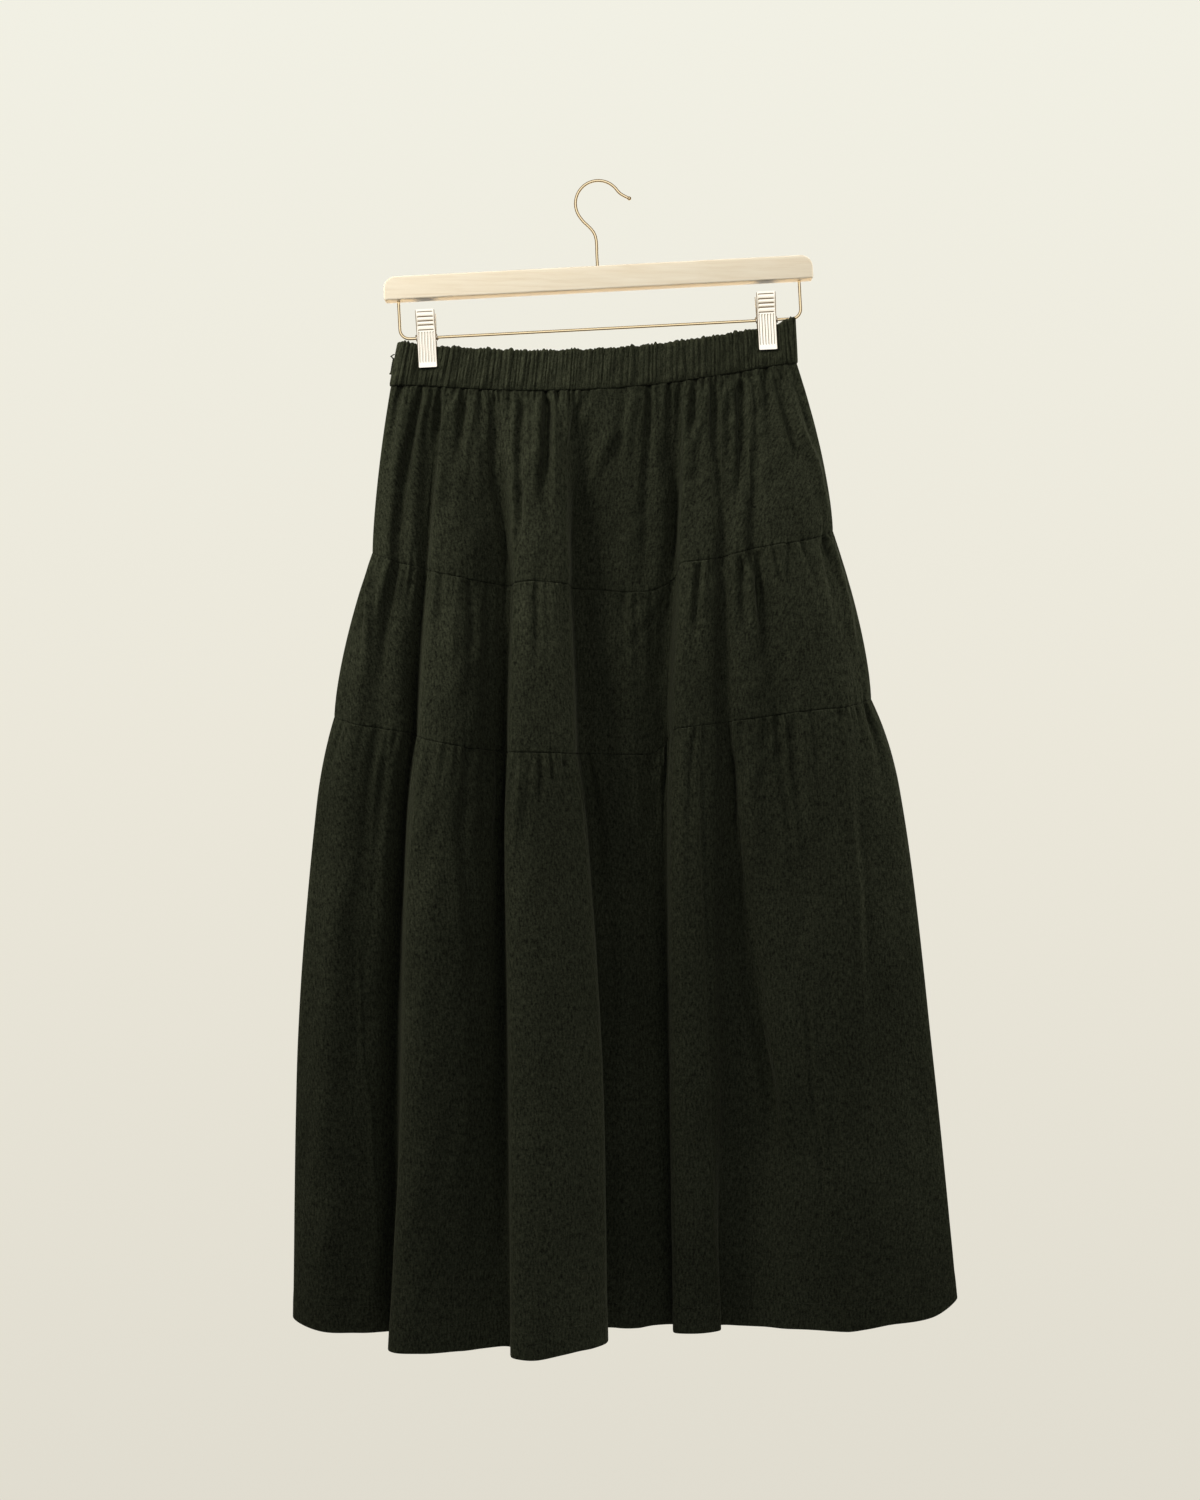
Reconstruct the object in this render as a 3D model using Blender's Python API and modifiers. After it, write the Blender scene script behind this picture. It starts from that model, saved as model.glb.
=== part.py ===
"""A gathered midi skirt in three tiers, hanging flat from the clips of a wooden hanger.

Metres, +Z up, +X to the right of the skirt's front, which faces -Y.  The origin is the
inside of the hook's top, where the hanger hangs.  The tables and sizes are in millimetres
and are turned into metres where a shape is made.  The skirt is a tube of cloth: its
sections are smooth closed curves through the same fold lines at six heights, and each
panel is a wall lofted between them.
"""
import math

import bmesh
import bpy
from mathutils import Vector

NAME = "gathered_midi_skirt"
MM = 0.001

# ---- Hanger, level, before it is tilted (mm) ----------------------------------------------
TILT_DEGREES = 3.0          # the right end hangs higher
BAR_LENGTH = 360.0
BAR_HEIGHT = 20.0
BAR_THICKNESS = 13.0
BAR_TOP = -71.3
BAR_CENTRE = -4.1           # the hook stands off the origin by this much
BAR_TOP_CORNER = 10.0
BAR_LOW_CORNER = 2.0
BAR_EDGE_ROUND = 1.5
WIRE_DIAMETER = 2.5
HOOK_RADIUS = 19.25         # to the wire's middle
HOOK_SINK = 12.0            # how far the stem goes into the bar
HOOK_BALL = 3.4
HOOK_CENTRE = -0.6
HOOK_ARC = (212.0, 38.0)    # degrees, from where the stem meets it, over the top
HOOK_STEM = (               # x, z of the stem's bend to the left
    (-4.1, -60.0), (-3.9, -52.5), (-4.2, -47.5), (-5.3, -43.2), (-7.6, -39.4), (-10.6, -36.0),
    (-14.0, -32.4),
)
HOOK_FLICK = ((15.7, -7.7), (17.2, -9.6), (19.0, -11.2), (21.6, -12.9), (24.3, -14.4))
RAIL_HALF_WIDTH = 168.5
RAIL_HEIGHT = -123.2
RAIL_BEND = 8.0
RAIL_KNOT = -100.0
RAIL_SINK = 8.0
DRILL_MARGIN = 3.0          # how far a drill stands out of the bar
FIT_GAP = 0.3

# ---- Clips (mm) ---------------------------------------------------------------------------
CLIP_CENTRES = {"left": -150.4, "right": 135.2}
CLIP_WIDTH = 16.2
CLIP_TOP = -100.9
CLIP_PLATE = 0.9
SPRING_DIAMETER = 6.0
SPRING_LENGTH = 18.6
CLIP_PROFILE = (            # height under the clip's top, plate's distance from the middle
    (0.0, 9.6), (4.0, 8.8), (9.0, 7.4), (14.5, 5.8), (19.0, 4.8), (24.0, 4.6),
    (30.0, 4.55), (38.0, 4.45), (44.5, 4.4), (47.8, 5.1),
)

# ---- Waistband (mm) -----------------------------------------------------------------------
BAND_TOP_ENDS = (-167.2, 164.6)      # x of the two ends of the top edge
BAND_SEAM_ENDS = (-174.3, 167.0)
BAND_AT_CLIPS = -128.8               # height of the top edge midway between the clips' line
BAND_SLOPE = 0.0565
BAND_SAG = 12.1
CLIP_REACH = 142.6                   # x of the clips' jaws
BAND_HEIGHT = 34.0
BAND_END_RISE = 4.0                  # the band is wider beyond the clips, by this at END_X
BAND_END_X = 170.0
BAND_WALL = 2.2
BAND_HALF_GAP = (1.5, 6.0)           # from the middle plane: in the clips, halfway between
BAND_END_ROUND = 4.5
CORNER_SHIFT = 4.7                   # the top's right corner stands in front of the rail
CORNER_SHIFT_X = (149.7, 162.0)      # where that starts and where it is complete
CORNER_RISE = 1.9                    # and a little higher than the rest of the top
CORNER_RISE_X = (158.0, 163.5)
BAND_GATHERS = 30
BAND_GATHER_DEPTH = 0.55
BAND_ROWS = (0.0, 0.12, 0.88, 1.0)
BAND_CROWDING = 0.35                 # 0 for even columns, 1 for columns crowded at the ends
COLUMNS_A_GATHER = 3

# ---- Tiers (mm) ---------------------------------------------------------------------------
CLOTH_WALL = 1.2
SEAM_GAP = 0.3
KNEE_SHARE = 0.15                    # heights of two more sections, as shares of tier 3
CALF_SHARE = 0.61
COLUMN_PITCH = {"front": 10.0, "back": 12.0}
TIGHT_TURN = 110.0                   # degrees, where a section gets columns closer together
MITRE_LIMIT = 0.62                   # keeps a wall's sharpest bends from growing spikes
PUFF_POWER = 1.5                     # how fast a tier swells out under its seam
GATHER_DEPTH = 1.6
GATHER_SHARE = 0.18                  # a gather's depth as a share of the columns' spacing
GATHER_SPACING = 9.0                 # and the widest spacing that counts
GATHER_PEAK = 14.0                   # gathers are deepest this far under a seam
ROWS = {
    "tier1": (0.0, 0.08, 0.22, 0.45, 0.72, 1.0),
    "tier2": (0.0, 0.09, 0.25, 0.48, 0.75, 1.0),
    "tier3": (0.0, 0.025, 0.07, 0.15, 0.28, 0.44, 0.61, 0.80, 1.0),
}

# Front fold lines, from the left side seam to the right one.
FRONT_FOLDS = (
    # line, then x at: band seam, seam 1, seam 2, knee, calf, hem
    #       and depth towards the front at: seam 1, seam 2, knee, calf, hem
    ("left_seam", (-174, -189, -221, -236, -253, -256), (0, 0, 0, -1, -3)),
    ("a_turn", (-169, -183, -213, -228, -243, -246), (8, 9, 10, 9, 7)),
    ("a_crest", (-162, -175, -201, -214, -227, -229), (14, 17, 19, 19, 14)),
    ("a_dip", (-148, -167, -185, -196, -208, -209), (10, 15, 18, 17, 12)),
    ("a_ridge", (-140, -155, -167, -177, -187, -189), (15, 17, 16, 10, 6)),
    ("b_valley", (-131, -143, -153, -162, -170, -167), (8, 3, 1, -3, -3)),
    ("b_edge", (-125, -138, -145, -152, -158, -169), (26, 38, 42, 48, 50)),
    ("b_crest", (-111, -123, -129, -136, -145, -152), (31, 46, 50, 56, 58)),
    ("b_shoulder", (-99, -104, -107, -108, -110, -112), (27, 43, 48, 47, 51)),
    ("c_valley", (-87, -75, -77, -78, -76, -72), (8, 18, 19, 24, 38)),
    ("c_edge", (-75, -67, -71, -73, -69, -68), (32, 50, 54, 64, 71)),
    ("c_crest", (-57, -55, -57, -57, -53, -50), (36, 55, 60, 70, 78)),
    ("c_face", (-41, -40, -41, -37, -31, -29), (35, 54, 59, 68, 74)),
    ("c_return", (-27, -26, -21, -12, 2, 6), (29, 44, 45, 48, 52)),
    ("d_valley", (-13, -21, -15, -7, 3, 5), (3, 3, 4, 4, 3)),
    ("d_ridge", (3, 2, 5, 12, 17, 20), (6, 6, 8, 7, 4)),
    ("d_floor", (32, 30, 28, 28, 32, 35), (9, 9, 7, 3, 0)),
    ("d_side", (49, 47, 45, 43, 45, 48), (6, 2, -1, -4, -4)),
    ("e_valley", (67, 65, 58, 56, 59, 67), (1, -3, -5, -6, -6)),
    ("e_edge", (75, 70, 64, 62, 62, 64), (22, 31, 31, 26, 19)),
    ("e_crest", (86, 83, 76, 73, 74, 80), (26, 36, 36, 31, 24)),
    ("e_return", (93, 94, 91, 89, 94, 101), (24, 33, 31, 24, 17)),
    ("f_valley", (101, 103, 107, 111, 105, 101), (17, 22, 16, 9, 0)),
    ("f_rise", (109, 110, 115, 117, 142, 138), (21, 28, 22, 4, 3)),
    ("f_ridge", (115, 119, 129, 126, 150, 158), (24, 32, 29, 13, 7)),
    ("f_dip", (121, 128, 148, 151, 170, 184), (19, 27, 29, 21, 10)),
    ("g_ridge", (138, 147, 171, 179, 199, 209), (25, 31, 32, 25, 14)),
    ("g_crease", (151, 173, 205, 210, 227, 242), (18, 24, 27, 22, 13)),
    ("g_turn", (160, 188, 219, 235, 260, 282), (9, 12, 15, 12, 6)),
    ("right_seam", (167, 197, 229, 253, 282, 302), (0, 0, 0, -1, -3)),
)

# Back fold lines, from the right side seam to the left one, which lie flatter.
BACK_FOLDS = (
    # line, share of the width at seam 1 and at the hem, depth back at: seam 1, seam 2, hem
    ("r_turn", 0.020, 0.015, 8, 9, 10),
    ("r_crest", 0.080, 0.070, 14, 17, 19),
    ("p_valley", 0.150, 0.140, 11, 13, 14),
    ("p_crest", 0.220, 0.205, 15, 20, 23),
    ("p_over", 0.262, 0.282, 16, 23, 26),
    ("p_lip", 0.275, 0.282, 14, 19, 21),
    ("p_under", 0.288, 0.240, 12, 16, 18),
    ("p_root", 0.302, 0.240, 11, 12, 13),
    ("s_floor", 0.340, 0.320, 11, 11, 12),
    ("s_crest", 0.400, 0.390, 16, 20, 22),
    ("s_valley", 0.460, 0.455, 12, 14, 15),
    ("t_crest", 0.515, 0.500, 16, 20, 23),
    ("t_over", 0.552, 0.570, 16, 23, 26),
    ("t_lip", 0.564, 0.570, 14, 19, 21),
    ("t_under", 0.576, 0.530, 12, 16, 18),
    ("t_root", 0.590, 0.530, 11, 12, 13),
    ("u_floor", 0.622, 0.605, 11, 11, 12),
    ("u_crest", 0.680, 0.670, 15, 19, 21),
    ("u_valley", 0.740, 0.735, 12, 14, 15),
    ("v_crest", 0.795, 0.785, 15, 20, 22),
    ("v_over", 0.829, 0.850, 15, 22, 25),
    ("v_lip", 0.840, 0.850, 13, 18, 20),
    ("v_under", 0.851, 0.814, 11, 15, 17),
    ("v_root", 0.864, 0.814, 10, 11, 12),
    ("w_floor", 0.892, 0.880, 10, 10, 11),
    ("w_crest", 0.940, 0.935, 12, 15, 17),
    ("l_turn", 0.980, 0.985, 7, 8, 10),
)

# Heights of the seams and hem along the front, at some of its fold lines.
FRONT_HEIGHTS = (
    # line, seam 1, seam 2, hem
    ("left_seam", -311, -449, -954),
    ("a_crest", -318, -456, -962),
    ("b_valley", -326, -464, -966),
    ("b_edge", -329, -467, -967),
    ("c_valley", -340, -479, -967),
    ("c_crest", -338, -479, -967),
    ("c_return", -340, -480, -961),
    ("d_floor", -345, -481, -962),
    ("d_side", -343, -480, -961),
    ("e_edge", -322, -460, -961),
    ("e_return", -319, -456, -960),
    ("f_ridge", -313, -451, -961),
    ("g_ridge", -307, -445, -962),
    ("g_turn", -298, -438, -951),
    ("right_seam", -293, -434, -938),
)
SAGGING_LEVELS = (1, 2, 5)           # seam 1, seam 2 and hem among the six levels
BACK_SAGS = (26, 26, 9)              # how much lower the back's middle is at those three
BACK_NARROWING = 0.25                # how much of the back folds' drift is done by seam 2

# ---- Small trim (mm) ----------------------------------------------------------------------
LOOP_WIRE = 1.1                      # thread loop on the band's left side seam
LOOP_BULGE = 2.6
LOOP_TOP_SHARE = 0.30
LOOP_LOW_SHARE = 0.80


# ---- Curves -------------------------------------------------------------------------------
def lerp(start, end, share):
    return start + (end - start) * share


def eased(share):
    """Fast at first and slow at the end, as cloth puffs out under a seam."""
    return 1.0 - (1.0 - share) ** PUFF_POWER


def slope_at(knots, values, index):
    """Slope of a smooth curve at a knot, from the chords beside it."""
    if index == 0:
        return PUFF_POWER * (values[1] - values[0]) / (knots[1] - knots[0])
    if index == len(knots) - 1:
        return (values[-1] - values[-2]) / (knots[-1] - knots[-2])
    before = (values[index] - values[index - 1]) / (knots[index] - knots[index - 1])
    after = (values[index + 1] - values[index]) / (knots[index + 1] - knots[index])
    if before * after <= 0.0:
        return 0.0
    return 2.0 * before * after / (before + after)


def smooth_between(knots, values, where):
    """Cubic curve through values at knots, with no overshoot."""
    index = 0
    while index < len(knots) - 2 and where > knots[index + 1]:
        index += 1
    width = knots[index + 1] - knots[index]
    t = (where - knots[index]) / width
    slope_0 = slope_at(knots, values, index) * width
    slope_1 = slope_at(knots, values, index + 1) * width
    return (
        values[index] * (2 * t ** 3 - 3 * t ** 2 + 1) + slope_0 * (t ** 3 - 2 * t ** 2 + t)
        + values[index + 1] * (3 * t ** 2 - 2 * t ** 3) + slope_1 * (t ** 3 - t ** 2)
    )


def rounded_point(before, start, end, after, t):
    """Point on a centripetal Catmull-Rom curve between start and end."""
    knots = [0.0]
    for here, there in ((before, start), (start, end), (end, after)):
        knots.append(knots[-1] + max((there - here).length, 1e-6) ** 0.5)
    k0, k1, k2, k3 = knots
    where = lerp(k1, k2, t)
    a1 = before * ((k1 - where) / (k1 - k0)) + start * ((where - k0) / (k1 - k0))
    a2 = start * ((k2 - where) / (k2 - k1)) + end * ((where - k1) / (k2 - k1))
    a3 = end * ((k3 - where) / (k3 - k2)) + after * ((where - k2) / (k3 - k2))
    b1 = a1 * ((k2 - where) / (k2 - k0)) + a2 * ((where - k0) / (k2 - k0))
    b2 = a2 * ((k3 - where) / (k3 - k1)) + a3 * ((where - k1) / (k3 - k1))
    return b1 * ((k2 - where) / (k2 - k1)) + b2 * ((where - k1) / (k2 - k1))


# ---- The waistband's form -----------------------------------------------------------------
def band_top_height(x):
    """Top edge: it sags between the clips and turns up beyond them."""
    return BAND_AT_CLIPS + BAND_SLOPE * x - BAND_SAG * (1.0 - (x / CLIP_REACH) ** 2)


def band_seam_height(x):
    return band_top_height(x) - BAND_HEIGHT - BAND_END_RISE * (abs(x) / BAND_END_X) ** 8


def band_half_gap(x, end_distance):
    """Distance of the band's wall from the middle plane, closing at its ends."""
    middle = max(0.0, 1.0 - (x / CLIP_REACH) ** 2)
    gap = lerp(BAND_HALF_GAP[0], BAND_HALF_GAP[1], middle)
    inward = min(end_distance / BAND_END_ROUND, 1.0)
    return gap * math.sqrt(max(0.0, 1.0 - (1.0 - inward) ** 2))


def between(x, limits):
    """Smooth step from 0 at the first limit to 1 at the second."""
    share = min(max((x - limits[0]) / (limits[1] - limits[0]), 0.0), 1.0)
    return share * share * (3.0 - 2.0 * share)


# ---- Sections of the three tiers ----------------------------------------------------------
FRONT_NAMES = [fold[0] for fold in FRONT_FOLDS]
FRONT_COUNT = len(FRONT_FOLDS)
ALL_COUNT = FRONT_COUNT + len(BACK_FOLDS)


def front_heights():
    """Heights of seam 1, seam 2 and hem at every front fold line."""
    stations = [FRONT_NAMES.index(row[0]) for row in FRONT_HEIGHTS]
    heights = []
    for index in range(FRONT_COUNT):
        after = 1
        while index > stations[after]:
            after += 1
        share = (index - stations[after - 1]) / (stations[after] - stations[after - 1])
        low, high = FRONT_HEIGHTS[after - 1][1:], FRONT_HEIGHTS[after][1:]
        heights.append([lerp(a, b, share) for a, b in zip(low, high)])
    return heights


def fold_points():
    """Six points (mm) down each fold line, all round: band seam, seams, knee, calf, hem."""
    lines = []
    heights = front_heights()
    for (_, across, depths), (seam_1, seam_2, hem) in zip(FRONT_FOLDS, heights):
        end_distance = min(across[0] - across_end("left"), across_end("right") - across[0])
        levels = [band_seam_height(across[0]), seam_1, seam_2]
        levels += [lerp(seam_2, hem, KNEE_SHARE), lerp(seam_2, hem, CALF_SHARE), hem]
        fronts = [band_half_gap(across[0], end_distance)] + list(depths)
        lines.append([Vector((x, -y, z)) for x, y, z in zip(across, fronts, levels)])
    right, left = lines[-1], lines[0]
    for _, share_1, share_hem, depth_1, depth_2, depth_hem in BACK_FOLDS:
        shares = [share_1, share_1, lerp(share_1, share_hem, BACK_NARROWING)]
        shares += [lerp(shares[2], share_hem, KNEE_SHARE), lerp(shares[2], share_hem, CALF_SHARE)]
        shares.append(share_hem)
        across = [lerp(right[i].x, left[i].x, shares[i]) for i in range(6)]
        end_distance = min(across[0] - across_end("left"), across_end("right") - across[0])
        heights = []
        for level, sag in zip(SAGGING_LEVELS, BACK_SAGS):
            share = shares[level]
            straight = lerp(right[level].z, left[level].z, share)
            heights.append(straight - sag * 4.0 * share * (1.0 - share))
        seam_1, seam_2, hem = heights
        levels = [band_seam_height(across[0]), seam_1, seam_2]
        levels += [lerp(seam_2, hem, KNEE_SHARE), lerp(seam_2, hem, CALF_SHARE), hem]
        backs = [band_half_gap(across[0], end_distance), depth_1, depth_2]
        backs += [lerp(depth_2, depth_hem, KNEE_SHARE), lerp(depth_2, depth_hem, CALF_SHARE)]
        backs.append(depth_hem)
        lines.append([Vector((x, y, z)) for x, y, z in zip(across, backs, levels)])
    return lines


def across_end(side):
    return FRONT_FOLDS[0 if side == "left" else -1][1][0]


def point_down(line, tier, share):
    """Point of one fold line at a share of a tier's height."""
    if tier == "tier3":
        knots = (0.0, KNEE_SHARE, CALF_SHARE, 1.0)
        down = [smooth_between(knots, [p[axis] for p in line[2:]], share) for axis in (0, 1)]
        return Vector((down[0], down[1], lerp(line[2].z, line[5].z, share)))
    top, low = (line[0], line[1]) if tier == "tier1" else (line[1], line[2])
    out = eased(share)
    return Vector((lerp(top.x, low.x, out), lerp(top.y, low.y, out), lerp(top.z, low.z, share)))


def section(lines, tier, share):
    return [point_down(line, tier, share) for line in lines]


def section_point(corners, index, t):
    count = len(corners)
    return rounded_point(
        corners[(index - 1) % count], corners[index % count],
        corners[(index + 1) % count], corners[(index + 2) % count], t)


def turning(corners, index):
    """Degrees by which a section turns over the stretch after one fold line."""
    count = len(corners)
    before = (corners[index % count] - corners[(index - 1) % count]).xy
    after = (corners[(index + 2) % count] - corners[(index + 1) % count]).xy
    return math.degrees(before.angle(after))


def columns(lines, side):
    """Where a panel's columns stand: fold line and share of the way to the next one."""
    first, last = (0, FRONT_COUNT - 1) if side == "front" else (FRONT_COUNT - 1, ALL_COUNT)
    corners = section(lines, "tier3", CALF_SHARE)
    places = []
    for index in range(first, last):
        width = (corners[(index + 1) % ALL_COUNT] - corners[index]).length
        steps = max(1, round(width / COLUMN_PITCH[side]))
        if side == "back" and turning(corners, index) > TIGHT_TURN:
            steps = max(steps, 2)
        places += [(index, step / steps) for step in range(steps)]
    places.append((last, 0.0))
    return places


def gather_wave(number, spacing, depth):
    """How far the gathers stand out: three columns a wave, dying away down the tier."""
    reach = depth / GATHER_PEAK
    envelope = (0.25 + reach) * math.exp(1.0 - 0.8 * reach) / 1.4
    limit = min(GATHER_DEPTH, GATHER_SHARE * spacing)
    return limit * envelope * (1.0 + math.sin(number * 2.0 * math.pi / COLUMNS_A_GATHER))


def flat_normal(before, after):
    """Outward normal in plan, for a section that runs left to right along the front."""
    run = after - before
    return Vector((run.y, -run.x, 0.0)).normalized()


def corner_offset(before, point, after):
    """Outward offset in plan that keeps the wall's thickness round a bend."""
    first, second = flat_normal(before, point), flat_normal(point, after)
    out = (first + second).normalized()
    return out / max(out.dot(first), MITRE_LIMIT)


def tier_walls(lines, tier, side):
    """Outer and inner points of one panel, a row for each height."""
    places = columns(lines, side)
    rows = []
    for share in ROWS[tier]:
        corners = section(lines, tier, share)
        row = [section_point(corners, index, t) for index, t in places]
        first_run = (section_point(corners, places[0][0], 0.01) - row[0]).normalized()
        last_run = (row[-1] - section_point(corners, places[-1][0] - 1, 0.99)).normalized()
        row[0] = row[0] + first_run * (SEAM_GAP / 2.0)
        row[-1] = row[-1] - last_run * (SEAM_GAP / 2.0)
        for point in row:
            point.z += SEAM_GAP / 2.0 * (1.0 if share == 1.0 else -1.0 if share == 0.0 else 0.0)
        rows.append((row, first_run, last_run))
    outer_rows, inner_rows = [], []
    for number, (row, first_run, last_run) in enumerate(rows):
        above = rows[max(number - 1, 0)][0]
        below = rows[min(number + 1, len(rows) - 1)][0]
        outer, inner = [], []
        for k, point in enumerate(row):
            if k == 0:
                out = flat_normal(point, point + first_run)
            elif k == len(row) - 1:
                out = flat_normal(point, point + last_run)
            else:
                out = corner_offset(row[k - 1], point, row[k + 1])
            down = (below[k] - above[k]).normalized()
            lean = math.sqrt(max(0.25, 1.0 - out.normalized().dot(down) ** 2))
            half = CLOTH_WALL / 2.0 / lean
            spacing = (row[min(k + 1, len(row) - 1)] - row[max(k - 1, 0)]).length / 2.0
            wave = gather_wave(k, min(spacing, GATHER_SPACING), rows[0][0][k].z - point.z)
            outer.append(point + out * (wave + half))
            inner.append(point + out * (wave - half))
        outer_rows.append(outer)
        inner_rows.append(inner)
    return outer_rows, inner_rows


def x_side(side, k):
    """Side of a panel's first or last column: -1 at the left seam, 1 at the right one."""
    return -1.0 if (side == "front") == (k == 0) else 1.0


def band_walls(side):
    """Outer and inner points of one half of the waistband, with its gathers outside."""
    sign = -1.0 if side == "front" else 1.0
    steps = BAND_GATHERS * COLUMNS_A_GATHER
    outer_rows, inner_rows = [], []
    for share in BAND_ROWS:
        left = lerp(BAND_TOP_ENDS[0], BAND_SEAM_ENDS[0], share)
        right = lerp(BAND_TOP_ENDS[1], BAND_SEAM_ENDS[1], share)
        middle = []
        for step in range(steps + 1):
            part = (1.0 - math.cos(math.pi * step / steps)) / 2.0
            part = lerp(step / steps, part, BAND_CROWDING)
            x = lerp(left, right, part if side == "front" else 1.0 - part)
            end_distance = min(x - left, right - x)
            y = sign * max(band_half_gap(x, end_distance), SEAM_GAP / 2.0)
            y -= CORNER_SHIFT * between(x, CORNER_SHIFT_X) * (1.0 - share)
            z = lerp(band_top_height(x), band_seam_height(x) + SEAM_GAP / 2.0, share)
            z += CORNER_RISE * between(x, CORNER_RISE_X) * (1.0 - share)
            middle.append(Vector((x, y, z)))
        outer, inner = [], []
        for k, point in enumerate(middle):
            out = flat_normal(middle[max(k - 1, 0)], middle[min(k + 1, steps)])
            if k in (0, steps):
                out = Vector((x_side(side, k), 0.0, 0.0))
            turn = 2.0 * math.pi * k / COLUMNS_A_GATHER
            wave = BAND_GATHER_DEPTH * (0.5 + 0.5 * math.sin(turn))
            wave *= 1.0 if 0 < k < steps else 0.0
            outer.append(point + out * (BAND_WALL / 2.0 + wave))
            inner.append(point - out * (BAND_WALL / 2.0))
        outer_rows.append(outer)
        inner_rows.append(inner)
    return outer_rows, inner_rows


# ---- Materials and objects ----------------------------------------------------------------
def material(name, colour, roughness, metallic=0.0):
    made = bpy.data.materials.new(name)
    made.use_nodes = True
    shader = made.node_tree.nodes["Principled BSDF"]
    shader.inputs["Base Color"].default_value = (*colour, 1.0)
    shader.inputs["Roughness"].default_value = roughness
    shader.inputs["Metallic"].default_value = metallic
    return made


def clear_scene():
    for old in list(bpy.data.objects):
        bpy.data.objects.remove(old, do_unlink=True)


def collection(name):
    made = bpy.data.collections.new(name)
    bpy.context.scene.collection.children.link(made)
    return made


def add_object(name, data, finish, group):
    made = bpy.data.objects.new(name, data)
    made.data.materials.append(finish)
    group.objects.link(made)
    return made


def wall_object(name, outer_rows, inner_rows, finish, group):
    """Closed wall between two grids of points (mm)."""
    height, width = len(outer_rows), len(outer_rows[0])
    points = [p * MM for rows in (outer_rows, inner_rows) for row in rows for p in row]
    inside = height * width

    def quad(row, column):
        a = row * width + column
        return a, a + width, a + width + 1, a + 1

    faces = []
    for row in range(height - 1):
        for column in range(width - 1):
            a, b, c, d = quad(row, column)
            faces.append((a, b, c, d))
            faces.append((d + inside, c + inside, b + inside, a + inside))
    for column in range(width - 1):
        low = (height - 1) * width + column
        faces.append((column, column + 1, column + 1 + inside, column + inside))
        faces.append((low + 1, low, low + inside, low + 1 + inside))
    for row in range(height - 1):
        a = row * width
        z = a + width - 1
        faces.append((a + width, a, a + inside, a + width + inside))
        faces.append((z, z + width, z + width + inside, z + inside))
    mesh = bpy.data.meshes.new(name)
    mesh.from_pydata(points, [], faces)
    mesh.validate()
    mesh.shade_smooth()
    mesh.set_sharp_from_angle(angle=math.radians(60.0))
    return add_object(name, mesh, finish, group)


def wire_curve(name, points, diameter, finish, group):
    """Round wire through points (mm), its ends closed."""
    curve = bpy.data.curves.new(name, "CURVE")
    curve.dimensions = "3D"
    curve.bevel_depth = diameter / 2.0 * MM
    curve.bevel_resolution = 2
    curve.use_fill_caps = True
    spline = curve.splines.new("POLY")
    spline.points.add(len(points) - 1)
    for knot, point in zip(spline.points, points):
        knot.co = (*(Vector(point) * MM), 1.0)
    return add_object(name, curve, finish, group)


def arc(centre, radius, start, end, steps):
    """Points of an arc in the XZ plane, angles in degrees from +X towards +Z."""
    points = []
    for step in range(steps + 1):
        angle = math.radians(lerp(start, end, step / steps))
        points.append((centre[0] + radius * math.cos(angle), 0.0,
                       centre[1] + radius * math.sin(angle)))
    return points


# ---- Hanger -------------------------------------------------------------------------------
def bar_outline():
    """The bar's face, in X and Y of a 2D curve (mm): large upper and small lower corners."""
    half = BAR_LENGTH / 2.0
    top, low = BAR_TOP, BAR_TOP - BAR_HEIGHT
    big, small = BAR_TOP_CORNER, BAR_LOW_CORNER
    inset = BAR_EDGE_ROUND
    corners = (
        (half - big, top - big, big, 0.0, 6), (-half + big, top - big, big, 90.0, 6),
        (-half + small, low + small, small, 180.0, 3), (half - small, low + small, small, 270.0, 3),
    )
    points = []
    for x, y, radius, start, steps in corners:
        turn = arc((x, y), max(radius - inset, 0.5), start, start + 90.0, steps)
        points += [(BAR_CENTRE + p[0], p[2]) for p in turn]
    return points


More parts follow.
